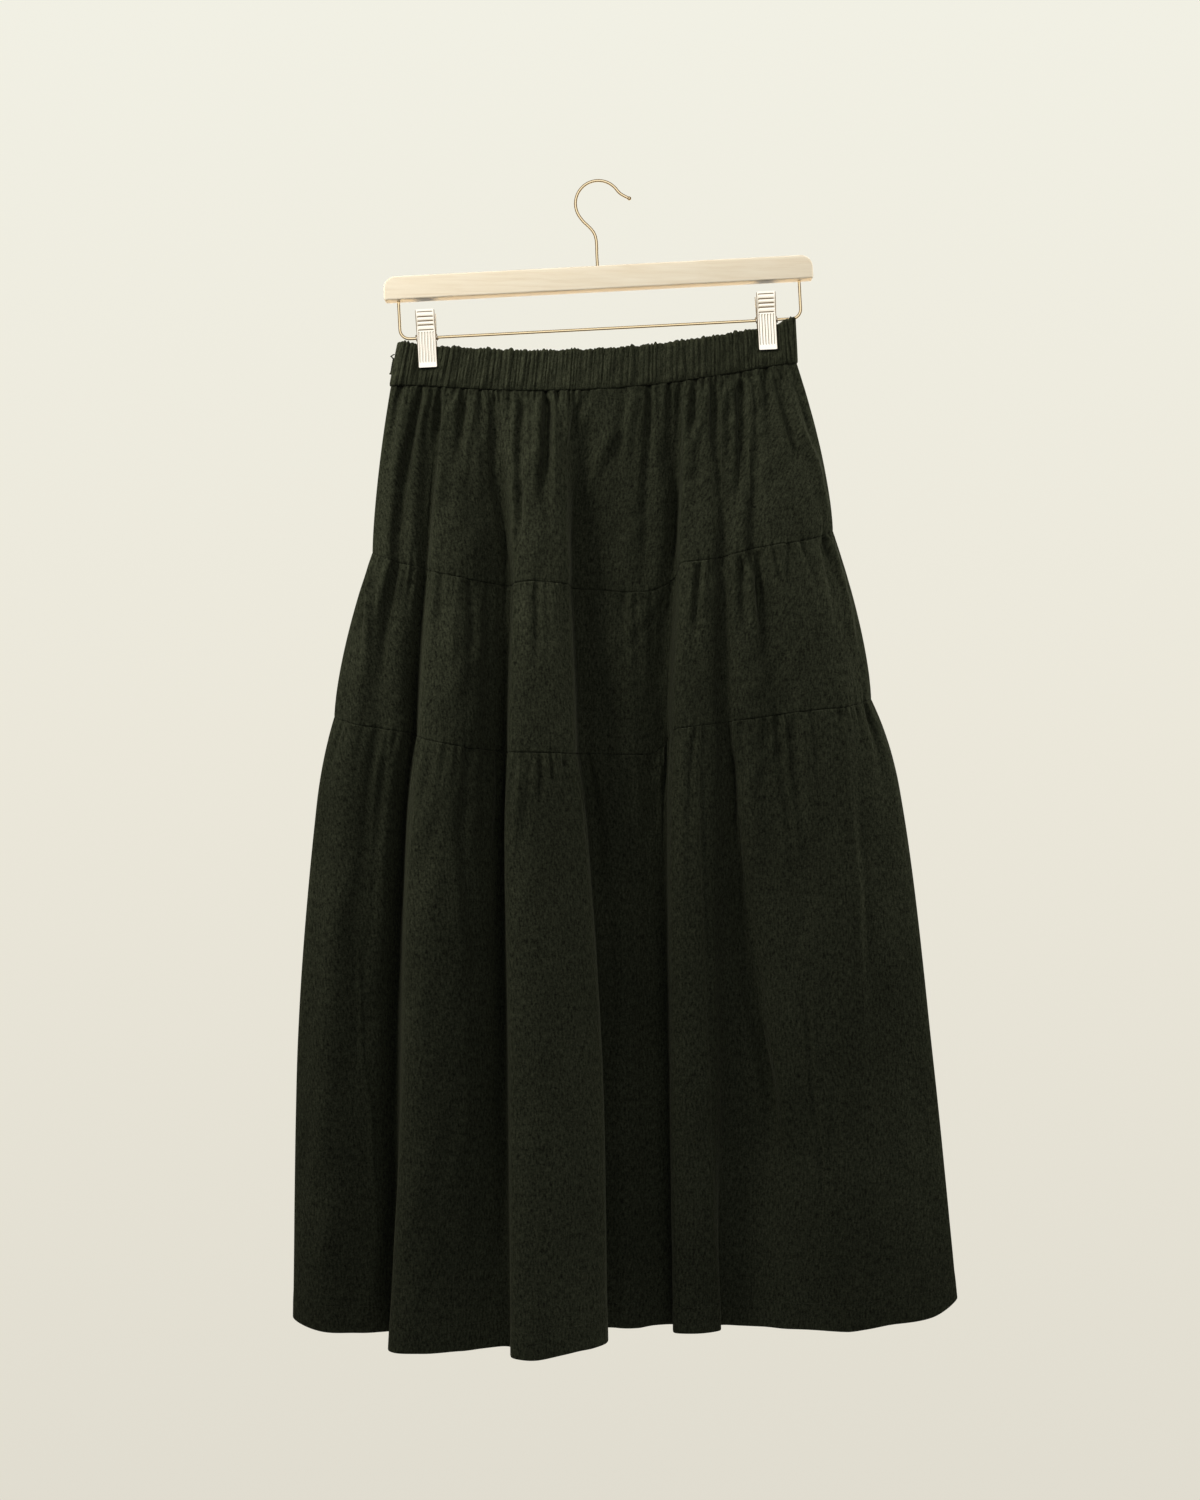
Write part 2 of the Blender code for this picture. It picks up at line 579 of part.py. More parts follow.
def bar(finish, group, cutters):
    """Wooden bar with rounded edges and drilled for the hook and the rail."""
    curve = bpy.data.curves.new("hanger_bar", "CURVE")
    curve.dimensions = "2D"
    curve.fill_mode = "BOTH"
    curve.extrude = (BAR_THICKNESS / 2.0 - BAR_EDGE_ROUND) * MM
    curve.bevel_depth = BAR_EDGE_ROUND * MM
    curve.bevel_resolution = 1
    spline = curve.splines.new("POLY")
    outline = bar_outline()
    spline.points.add(len(outline) - 1)
    for knot, (x, y) in zip(spline.points, outline):
        knot.co = (x * MM, y * MM, 0.0, 1.0)
    spline.use_cyclic_u = True
    soft = bpy.data.objects.new("bar_outline", curve)
    group.objects.link(soft)
    soft.rotation_euler = (math.pi / 2.0, 0.0, 0.0)
    bpy.context.view_layer.update()
    evaluated = soft.evaluated_get(bpy.context.evaluated_depsgraph_get())
    mesh = bpy.data.meshes.new_from_object(evaluated)
    mesh.transform(soft.matrix_world)
    bpy.data.objects.remove(soft, do_unlink=True)
    cage = bmesh.new()
    cage.from_mesh(mesh)
    bmesh.ops.remove_doubles(cage, verts=cage.verts, dist=0.00001)
    bmesh.ops.recalc_face_normals(cage, faces=cage.faces)
    cage.to_mesh(mesh)
    cage.free()
    made = add_object("hanger_bar", mesh, finish, group)
    mesh.shade_smooth()
    mesh.set_sharp_from_angle(angle=math.radians(40.0))
    rail_low = BAR_TOP - BAR_HEIGHT - DRILL_MARGIN
    rail_top = BAR_TOP - BAR_HEIGHT + RAIL_SINK + FIT_GAP
    holes = (
        ("hook_hole", BAR_CENTRE, BAR_TOP - HOOK_SINK - FIT_GAP, BAR_TOP + DRILL_MARGIN),
        ("rail_hole_left", BAR_CENTRE - RAIL_HALF_WIDTH, rail_low, rail_top),
        ("rail_hole_right", BAR_CENTRE + RAIL_HALF_WIDTH, rail_low, rail_top),
    )
    for name, x, start, end in holes:
        drill = bpy.data.meshes.new(name)
        cage = bmesh.new()
        bmesh.ops.create_cone(
            cage, cap_ends=True, segments=16, radius1=(WIRE_DIAMETER / 2.0 + FIT_GAP) * MM,
            radius2=(WIRE_DIAMETER / 2.0 + FIT_GAP) * MM, depth=(end - start) * MM)
        cage.to_mesh(drill)
        cage.free()
        cutter = bpy.data.objects.new(name, drill)
        cutter.location = (x * MM, 0.0, (start + end) / 2.0 * MM)
        cutter.hide_render = True
        cutter.display_type = "WIRE"
        cutters.objects.link(cutter)
        cut = made.modifiers.new(name, "BOOLEAN")
        cut.operation = "DIFFERENCE"
        cut.solver = "EXACT"
        cut.object = cutter
    return made


def hook(finish, group):
    """Wire hook: stem, a bend to the left, most of a circle and a flicked-out tip."""
    points = [(BAR_CENTRE, 0.0, BAR_TOP - HOOK_SINK), (BAR_CENTRE, 0.0, BAR_TOP)]
    points += [(x, 0.0, z) for x, z in HOOK_STEM]
    points += arc((HOOK_CENTRE, WIRE_DIAMETER / 2.0 - HOOK_RADIUS), HOOK_RADIUS, *HOOK_ARC, 22)
    points += [(x, 0.0, z) for x, z in HOOK_FLICK]
    made = wire_curve("hanger_hook", points, WIRE_DIAMETER, finish, group)
    end = Vector(points[-1])
    way = (end - Vector(points[-2])).normalized()
    ball = bpy.data.meshes.new("hook_tip")
    cage = bmesh.new()
    bmesh.ops.create_uvsphere(cage, u_segments=12, v_segments=8, radius=HOOK_BALL / 2.0 * MM)
    cage.to_mesh(ball)
    cage.free()
    ball.shade_smooth()
    tip_ball = add_object("hook_tip", ball, finish, group)
    tip_ball.location = (end + way * (HOOK_BALL / 2.0 + FIT_GAP)) * MM
    return [made, tip_ball]


def rail(finish, group):
    """Wire rail under the bar, its two ends sunk in the bar's underside."""
    left, right = BAR_CENTRE - RAIL_HALF_WIDTH, BAR_CENTRE + RAIL_HALF_WIDTH
    top = BAR_TOP - BAR_HEIGHT + RAIL_SINK
    bend = RAIL_BEND
    points = [(left, 0.0, top), (left, 0.0, RAIL_KNOT)]
    points += arc((left + bend, RAIL_HEIGHT + bend), bend, 180.0, 270.0, 6)
    points += arc((right - bend, RAIL_HEIGHT + bend), bend, 270.0, 360.0, 6)
    points += [(right, 0.0, RAIL_KNOT), (right, 0.0, top)]
    return [wire_curve("clip_rail", points, WIRE_DIAMETER, finish, group)]


def clip_plate(name, centre, sign, finish, group):
    """Bent steel plate of a clip, a strip with its thickness turned inwards."""
    mesh = bpy.data.meshes.new(name)
    points, faces = [], []
    for drop, out in CLIP_PROFILE:
        for side in (-1.0, 1.0):
            x = centre + side * CLIP_WIDTH / 2.0
            points.append(Vector((x, sign * out, CLIP_TOP - drop)) * MM)
    for step in range(len(CLIP_PROFILE) - 1):
        a = 2 * step
        faces.append((a, a + 2, a + 3, a + 1) if sign < 0.0 else (a + 1, a + 3, a + 2, a))
    mesh.from_pydata(points, [], faces)
    made = add_object(name, mesh, finish, group)
    thick = made.modifiers.new("plate", "SOLIDIFY")
    thick.thickness = CLIP_PLATE * MM
    thick.offset = 0.0
    thick.use_even_offset = True
    return made


def clip_spring(name, centre, finish, group):
    """Spring sleeve round the rail, between the two plates."""
    outer = SPRING_DIAMETER / 2.0
    inner = WIRE_DIAMETER / 2.0 + FIT_GAP
    half = SPRING_LENGTH / 2.0
    mesh = bpy.data.meshes.new(name)
    cage = bmesh.new()
    profile = ((half, outer), (-half, outer), (-half, inner), (half, inner))
    corners = [cage.verts.new((x * MM, r * MM, 0.0)) for x, r in profile]
    edges = [cage.edges.new((corners[i], corners[(i + 1) % 4])) for i in range(4)]
    bmesh.ops.spin(
        cage, geom=corners + edges, cent=(0.0, 0.0, 0.0), axis=(1.0, 0.0, 0.0),
        angle=2.0 * math.pi, steps=16, use_merge=True)
    bmesh.ops.remove_doubles(cage, verts=cage.verts, dist=0.000001)
    bmesh.ops.recalc_face_normals(cage, faces=cage.faces)
    cage.to_mesh(mesh)
    cage.free()
    mesh.shade_smooth()
    mesh.set_sharp_from_angle(angle=math.radians(40.0))
    made = add_object(name, mesh, finish, group)
    made.location = (centre * MM, 0.0, RAIL_HEIGHT * MM)
    return made


def hanger(wood, steel, group, cutters):
    """The level hanger, hung from an empty at the hook and tilted with it."""
    pieces = [bar(wood, group, cutters)]
    pieces += hook(steel, group)
    pieces += rail(steel, group)
    for side, centre in CLIP_CENTRES.items():
        pieces.append(clip_plate(f"clip_{side}_front", centre, -1.0, steel, group))
        pieces.append(clip_plate(f"clip_{side}_back", centre, 1.0, steel, group))
        pieces.append(clip_spring(f"clip_{side}_spring", centre, steel, group))
    pivot = bpy.data.objects.new("hanging_point", None)
    group.objects.link(pivot)
    pivot.rotation_euler = (0.0, -math.radians(TILT_DEGREES), 0.0)
    for piece in pieces + list(cutters.objects):
        piece.parent = pivot


# ---- Skirt --------------------------------------------------------------------------------
def skirt(cloth, group):
    lines = fold_points()
    for side in ("front", "back"):
        wall_object(f"waistband_{side}", *band_walls(side), cloth, group)
        for tier in ROWS:
            wall_object(f"{tier}_{side}", *tier_walls(lines, tier, side), cloth, group)


def side_loop(thread, group):
    """Small thread loop standing off the band's left side seam."""
    points = []
    steps = 10
    for step in range(steps + 1):
        share = lerp(LOOP_TOP_SHARE, LOOP_LOW_SHARE, step / steps)
        edge = lerp(BAND_TOP_ENDS[0], BAND_SEAM_ENDS[0], share) - BAND_WALL / 2.0
        height = lerp(band_top_height(edge), band_seam_height(edge), share)
        stand = LOOP_WIRE / 2.0 + FIT_GAP + LOOP_BULGE * math.sin(math.pi * step / steps)
        points.append((edge - stand, 0.0, height))
    return wire_curve("side_loop", points, LOOP_WIRE, thread, group)


def build():
    clear_scene()
    parts = collection(NAME)
    cutters = collection("cutters")
    cloth = material("black_cotton", (0.012, 0.013, 0.009), 0.9)
    thread = material("black_thread", (0.010, 0.010, 0.008), 0.8)
    wood = material("pale_wood", (0.80, 0.69, 0.50), 0.55)
    steel = material("plated_steel", (0.78, 0.77, 0.74), 0.28, 1.0)
    hanger(wood, steel, parts, cutters)
    skirt(cloth, parts)
    side_loop(thread, parts)


build()
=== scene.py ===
"""Looks of a gathered midi skirt that hangs from the clips of a wooden hanger.

Tables and sizes are in millimetres, in the model's frame, and turned into metres where a
mesh is made; the floor and the lights are in metres.  The cloth follows the same fold lines
as the solids it stands for, with many more rows and columns, and with gathers, creases,
seams and stitches worked into it.
"""
import math
import random

import bmesh
import bpy
import numpy as np
from mathutils import Matrix, Vector


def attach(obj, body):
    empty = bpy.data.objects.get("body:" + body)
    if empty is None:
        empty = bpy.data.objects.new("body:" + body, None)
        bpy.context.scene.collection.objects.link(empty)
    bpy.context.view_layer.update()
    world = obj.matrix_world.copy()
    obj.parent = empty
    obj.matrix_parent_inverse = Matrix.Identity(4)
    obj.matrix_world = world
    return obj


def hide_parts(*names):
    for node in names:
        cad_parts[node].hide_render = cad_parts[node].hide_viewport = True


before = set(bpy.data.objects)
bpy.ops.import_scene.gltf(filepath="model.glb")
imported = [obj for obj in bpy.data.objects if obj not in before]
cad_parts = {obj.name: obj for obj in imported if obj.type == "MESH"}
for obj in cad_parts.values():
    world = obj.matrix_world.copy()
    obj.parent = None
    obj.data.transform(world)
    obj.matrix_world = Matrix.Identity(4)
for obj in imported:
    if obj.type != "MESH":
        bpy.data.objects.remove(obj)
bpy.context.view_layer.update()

MM = 0.001
TURN = 6.3                      # about a full turn: the range of the phases drawn by lot

# ---- Camera (mm) ----
CAMERA_PLACE = (1.7, -1750.0, -477.0)
CAMERA_LENS = 50.0
CAMERA_SENSOR = 36.0

# ---- Hanger, level, before it is tilted (mm) ----
TILT_DEGREES = 3.0
BAR_LENGTH = 360.0
BAR_HEIGHT = 20.0
BAR_THICKNESS = 13.0
BAR_TOP = -71.3
BAR_CENTRE = -4.1
BAR_TOP_CORNER = 10.0
BAR_LOW_CORNER = 2.0
BAR_EDGE_ROUND = 1.5
WIRE_DIAMETER = 2.5
HOOK_RADIUS = 19.25
HOOK_SINK = 12.0
HOOK_BALL = 3.4
HOOK_BALL_OUT = HOOK_BALL / 2.4     # the ball's centre, past the wire's end
HOOK_CENTRE = -0.6
HOOK_ARC = (212.0, 38.0)
HOOK_STEM = (
    (-4.1, -60.0), (-3.9, -52.5), (-4.2, -47.5), (-5.3, -43.2), (-7.6, -39.4), (-10.6, -36.0),
    (-14.0, -32.4),
)
HOOK_FLICK = ((15.7, -7.7), (17.2, -9.6), (19.0, -11.2), (21.6, -12.9), (24.3, -14.4))
RAIL_HALF_WIDTH = 168.5
RAIL_HEIGHT = -123.2
RAIL_BEND = 8.0
RAIL_SINK = 8.0
RAIL_KNOTS = range(-150, 151, 25)
RAIL_SIDE_KNOTS = (-100.0, -110.0)
FIT_GAP = 0.3
CLIP_CENTRES = {"left": -150.4, "right": 135.2}
CLIP_WIDTH = 16.2
CLIP_TOP = -100.9
CLIP_PLATE = 0.9
SPRING_DIAMETER = 6.0
SPRING_LENGTH = 18.6
SPRING_WIRE = 1.15
SPRING_TURNS = 14
CLIP_PROFILE = (            # height under the clip's top, plate's distance from the middle
    (0.0, 9.6), (4.0, 8.8), (9.0, 7.4), (14.5, 5.8), (19.0, 4.8), (24.0, 4.6),
    (30.0, 4.55), (38.0, 4.45), (44.5, 4.4), (47.8, 5.1),
)
CLIP_GROOVES = (2.5, 6.4, 9.9, 13.2, 17.0)      # heights of the dark lines across the grip
CLIP_FLUTES = (-6.0, -3.6, -1.2, 1.2, 3.6, 6.0)  # middles of the channels down the plate
CLIP_FLUTE_ENDS = (18.4, 43.0)
GROOVE_DEPTH, GROOVE_HALF_WIDTH, GROOVE_REACH = 0.35, 0.5, 6.9
FLUTE_DEPTH, FLUTE_HALF_WIDTH, FLUTE_SIDE = 0.32, 0.75, 0.6
PLATE_ROUND = 0.9
PLATE_CORNER = 1.6

# ---- Waistband (mm) ----
BAND_TOP_ENDS = (-167.2, 164.6)
BAND_SEAM_ENDS = (-174.3, 167.0)
BAND_AT_CLIPS = -128.8
BAND_SLOPE = 0.0565
BAND_SAG = 12.1
CLIP_REACH = 142.6
BAND_HEIGHT = 34.0
BAND_END_RISE = 4.0
BAND_END_X = 170.0
BAND_WALL = 2.2
BAND_HALF_GAP = (1.5, 6.0)
BAND_END_ROUND = 4.5
BAND_COLUMNS = 760
BAND_CROWDING = 0.35            # how far the columns crowd towards its ends
BAND_ROWS = (
    0.0, 0.12, 0.35, 0.7, 1.15, 2.0, 3.5, 6.0, 9.0, 12.0, 15.0, 18.0, 21.0, 24.0, 27.0, 29.5,
    31.5, 32.6, 33.3, 34.0,
)
BAND_TOP_ROUND = 1.15
BAND_FULLNESS = 2.6             # the cloth's length before it is gathered, to that after
# The right top corner stands in front of the rail, and a little higher than the rest.
CORNER_SHIFT = 4.7
CORNER_SHIFT_X = (149.7, 162.0)
CORNER_RISE = 1.9
CORNER_RISE_X = (158.0, 163.5)

# The thread loop: its strands' radius and distance from their middle, where it starts and ends
# down the band, and how it stands off, with a lobe as (height, place, spread) along it.
LOOP_STRAND = 0.66
LOOP_APART = 0.242
LOOP_SHARES = (0.30, 0.74)
LOOP_STAND = 0.2
LOOP_BULGE = 0.4
LOOP_LOBE = (2.6, 0.10, 0.08)
LOOP_SWELLS = ((0.22, 0.0, 0.05), (0.88, 1.0, 0.09))    # thicker at its start and at its knot
LOOP_STEPS = 48
LOOP_SIDES = 8
LOOP_TWIST = 30.0               # radians in all

# ---- Tiers (mm) ----
KNEE_SHARE = 0.15
CALF_SHARE = 0.61
PUFF_POWER = 1.5
TIER_HEIGHTS = {"tier1": 155.0, "tier2": 138.0, "tier3": 500.0}
FRONT_FOLDS = (
    # line, then x at: band seam, seam 1, seam 2, knee, calf, hem
    #       and depth towards the front at: seam 1, seam 2, knee, calf, hem
    ("left_seam", (-174, -189, -221, -236, -253, -256), (0, 0, 0, -1, -3)),
    ("a_turn", (-169, -183, -213, -228, -243, -246), (8, 9, 10, 9, 7)),
    ("a_crest", (-162, -175, -201, -214, -227, -229), (14, 17, 19, 19, 14)),
    ("a_dip", (-148, -167, -185, -196, -208, -209), (10, 15, 18, 17, 12)),
    ("a_ridge", (-140, -155, -167, -177, -187, -189), (15, 17, 16, 10, 6)),
    ("b_valley", (-131, -143, -153, -162, -170, -167), (8, 3, 1, -3, -3)),
    ("b_edge", (-125, -138, -145, -152, -158, -169), (26, 38, 42, 48, 50)),
    ("b_crest", (-111, -123, -129, -136, -145, -152), (31, 46, 50, 56, 58)),
    ("b_shoulder", (-99, -104, -107, -108, -110, -112), (27, 43, 48, 47, 51)),
    ("c_valley", (-87, -75, -77, -78, -76, -72), (8, 18, 19, 24, 38)),
    ("c_edge", (-75, -67, -71, -73, -69, -68), (32, 50, 54, 64, 71)),
    ("c_crest", (-57, -55, -57, -57, -53, -50), (36, 55, 60, 70, 78)),
    ("c_face", (-41, -40, -41, -37, -31, -29), (35, 54, 59, 68, 74)),
    ("c_return", (-27, -26, -21, -12, 2, 6), (29, 44, 45, 48, 52)),
    ("d_valley", (-13, -21, -15, -7, 3, 5), (3, 3, 4, 4, 3)),
    ("d_ridge", (3, 2, 5, 12, 17, 20), (6, 6, 8, 7, 4)),
    ("d_floor", (32, 30, 28, 28, 32, 35), (9, 9, 7, 3, 0)),
    ("d_side", (49, 47, 45, 43, 45, 48), (6, 2, -1, -4, -4)),
    ("e_valley", (67, 65, 58, 56, 59, 67), (1, -3, -5, -6, -6)),
    ("e_edge", (75, 70, 64, 62, 62, 64), (22, 31, 31, 26, 19)),
    ("e_crest", (86, 83, 76, 73, 74, 80), (26, 36, 36, 31, 24)),
    ("e_return", (93, 94, 91, 89, 94, 101), (24, 33, 31, 24, 17)),
    ("f_valley", (101, 103, 107, 111, 105, 101), (17, 22, 16, 9, 0)),
    ("f_rise", (109, 110, 115, 117, 142, 138), (21, 28, 22, 4, 3)),
    ("f_ridge", (115, 119, 129, 126, 150, 158), (24, 32, 29, 13, 7)),
    ("f_dip", (121, 128, 148, 151, 170, 184), (19, 27, 29, 21, 10)),
    ("g_ridge", (138, 147, 171, 179, 199, 209), (25, 31, 32, 25, 14)),
    ("g_crease", (151, 173, 205, 210, 227, 242), (18, 24, 27, 22, 13)),
    ("g_turn", (160, 188, 219, 235, 260, 282), (9, 12, 15, 12, 6)),
    ("right_seam", (167, 197, 229, 253, 282, 302), (0, 0, 0, -1, -3)),
)
BACK_FOLDS = (
    # line, share of the width at seam 1 and at the hem, depth back at: seam 1, seam 2, hem
    ("r_turn", 0.020, 0.015, 8, 9, 10),
    ("r_crest", 0.080, 0.070, 14, 17, 19),
    ("p_valley", 0.150, 0.140, 11, 13, 14),
    ("p_crest", 0.220, 0.205, 15, 20, 23),
    ("p_over", 0.262, 0.282, 16, 23, 26),
    ("p_lip", 0.275, 0.282, 14, 19, 21),
    ("p_under", 0.288, 0.240, 12, 16, 18),
    ("p_root", 0.302, 0.240, 11, 12, 13),
    ("s_floor", 0.340, 0.320, 11, 11, 12),
    ("s_crest", 0.400, 0.390, 16, 20, 22),
    ("s_valley", 0.460, 0.455, 12, 14, 15),
    ("t_crest", 0.515, 0.500, 16, 20, 23),
    ("t_over", 0.552, 0.570, 16, 23, 26),
    ("t_lip", 0.564, 0.570, 14, 19, 21),
    ("t_under", 0.576, 0.530, 12, 16, 18),
    ("t_root", 0.590, 0.530, 11, 12, 13),
    ("u_floor", 0.622, 0.605, 11, 11, 12),
    ("u_crest", 0.680, 0.670, 15, 19, 21),
    ("u_valley", 0.740, 0.735, 12, 14, 15),
    ("v_crest", 0.795, 0.785, 15, 20, 22),
    ("v_over", 0.829, 0.850, 15, 22, 25),
    ("v_lip", 0.840, 0.850, 13, 18, 20),
    ("v_under", 0.851, 0.814, 11, 15, 17),
    ("v_root", 0.864, 0.814, 10, 11, 12),
    ("w_floor", 0.892, 0.880, 10, 10, 11),
    ("w_crest", 0.940, 0.935, 12, 15, 17),
    ("l_turn", 0.980, 0.985, 7, 8, 10),
)
FRONT_HEIGHTS = (
    # line, seam 1, seam 2, hem
    ("left_seam", -311, -449, -954),
    ("a_crest", -318, -456, -962),
    ("b_valley", -326, -464, -966),
    ("b_edge", -329, -467, -967),
    ("c_valley", -340, -479, -967),
    ("c_crest", -338, -479, -967),
    ("c_return", -340, -480, -961),
    ("d_floor", -345, -481, -962),
    ("d_side", -343, -480, -961),
    ("e_edge", -322, -460, -961),
    ("e_return", -319, -456, -960),
    ("f_ridge", -313, -451, -961),
    ("g_ridge", -307, -445, -962),
    ("g_turn", -298, -438, -951),
    ("right_seam", -293, -434, -938),
)
SAGGING_LEVELS = (1, 2, 5)
BACK_SAGS = (26, 26, 9)
BACK_NARROWING = 0.25

# ---- Cloth in the render (mm) ----
CLOTH_WALL = 0.9
COLUMN_PITCH = {"front": 1.5, "back": 1.75}
SEAM_SINK = 0.8                 # both cloths turn in at a seam by this much
SEAM_ROUND = 1.7                # over this distance
SEAM_ROWS = (0.0, 0.5, 1.1, 1.9, 3.2)
FINE_ROW = 3.0
FINE_REACH = 120.0
COARSE_ROW = 8.5
STITCH_RINGS = (                # share of a stitch's length, height, half thickness
    (0.0, -0.1, 0.0), (0.22, 0.14, 0.2), (0.78, 0.14, 0.2), (1.0, -0.1, 0.0),
)
HEM_STITCH = 3.1
HEM_STITCH_DROP = 1.2
BAND_STITCH = 2.2
BAND_STITCH_DROP = 31.5
STITCH_LENGTHS, STITCH_GAPS, STITCH_DRIFT = (0.58, 0.72), (0.94, 1.06), 0.12
HEM_DEPTH = 22.0
HEM_EXTRA = 0.55
HEM_ROUND = 1.1
EDGE_SINK, EDGE_ROUND = 0.5, 1.4        # how the side seams turn in
EDGE_CALM = 14.0                        # distance from them at which the gathers are full
PUCKER_REACH = 9.0                      # how far the next tier's gathers reach up
TURNED_RELIEF = 0.3                     # share of the relief left where cloth turns sideways

# Pinches under each seam: pitch, depth, half width at the seam, how far they reach down.
TIER_PINCHES = {
    "tier1": ((3.8, 0.85, 0.9, 12.0), (8.0, 2.4, 1.35, 54.0), (15.0, 3.2, 2.0, 125.0)),
    "tier2": ((3.8, 0.75, 0.9, 11.0), (8.0, 1.7, 1.35, 34.0), (16.0, 2.1, 2.1, 80.0)),
    "tier3": ((3.8, 0.75, 0.9, 12.0), (8.0, 1.6, 1.4, 38.0), (17.0, 2.1, 2.3, 110.0)),
}
# Soft undulations all the way down: pitch, height, how far they reach.
TIER_WAVES = {
    "tier1": ((11.0, 1.0, 90.0), (23.0, 2.4, 400.0)),
    "tier2": ((12.0, 0.8, 60.0), (27.0, 1.7, 300.0)),
    "tier3": ((13.0, 0.8, 70.0), (30.0, 1.7, 260.0), (52.0, 1.8, 900.0)),
}
GATHER_SEEDS = {"tier1": 11, "tier2": 23, "tier3": 37}
BACK_SEED = 100
# How uneven they are: shares of the pitch, depth, height, width or reach.
PINCH_SPREAD = 0.032            # a pinch widens by this share of the way down
PINCH_SPACING, PINCH_DEPTHS, PINCH_WIDTHS = (0.45, 1.6), (0.35, 1.2), (0.7, 1.4)
PINCH_LENGTHS = (-0.15, 0.55)   # mean and spread of the logarithm
PINCH_LEAN = 0.05               # sideways for each millimetre down
PINCH_SWAY, SWAY_LENGTH, SWAY_START = 0.6, 17.0, 20.0
PINCH_START, PINCH_OPENING = 0.4, 5.0   # its depth at the seam, and where it is complete
PINCH_FADE, RIDGE_FADE = 1.3, 1.6       # powers of the way down by which they die away
RIDGE_SPACING, RIDGE_SIZES, RIDGE_REACHES = (0.55, 1.5), (0.35, 1.25), (0.5, 1.6)
RIDGE_DRIFT = 0.28
RIDGE_START, RIDGE_OPENING = 0.35, 0.25
LIP_PLACE = 1.9                 # the lips beside a trough, in half widths from its middle
PINCH_LIP, CREASE_LIP = 0.32, 0.3
# The band's ribs: pitch and height.
BAND_GATHERS = ((3.8, 1.5), (2.3, 0.65), (9.5, 1.0))
BAND_SEED = 61
BAND_EDGE_CALM = 6.0
BAND_SCALLOPS = 1.6             # how much the ribs raise the band's top edge
SCALLOP_REACH = 2.5
RIB_MIDDLE = 0.7                # a rib's mean height, as a share of the full one
RIB_LEAST = 0.2                 # share of the ribs left under a clip
CLIP_PRESS = (-143.1, 141.5)    # middles of the clips on the band, after the tilt
CLIP_PRESS_DEPTH = 21.0
CLIP_PRESS_SOFT = (4.0, 5.0)    # distances over which that fades, across and down

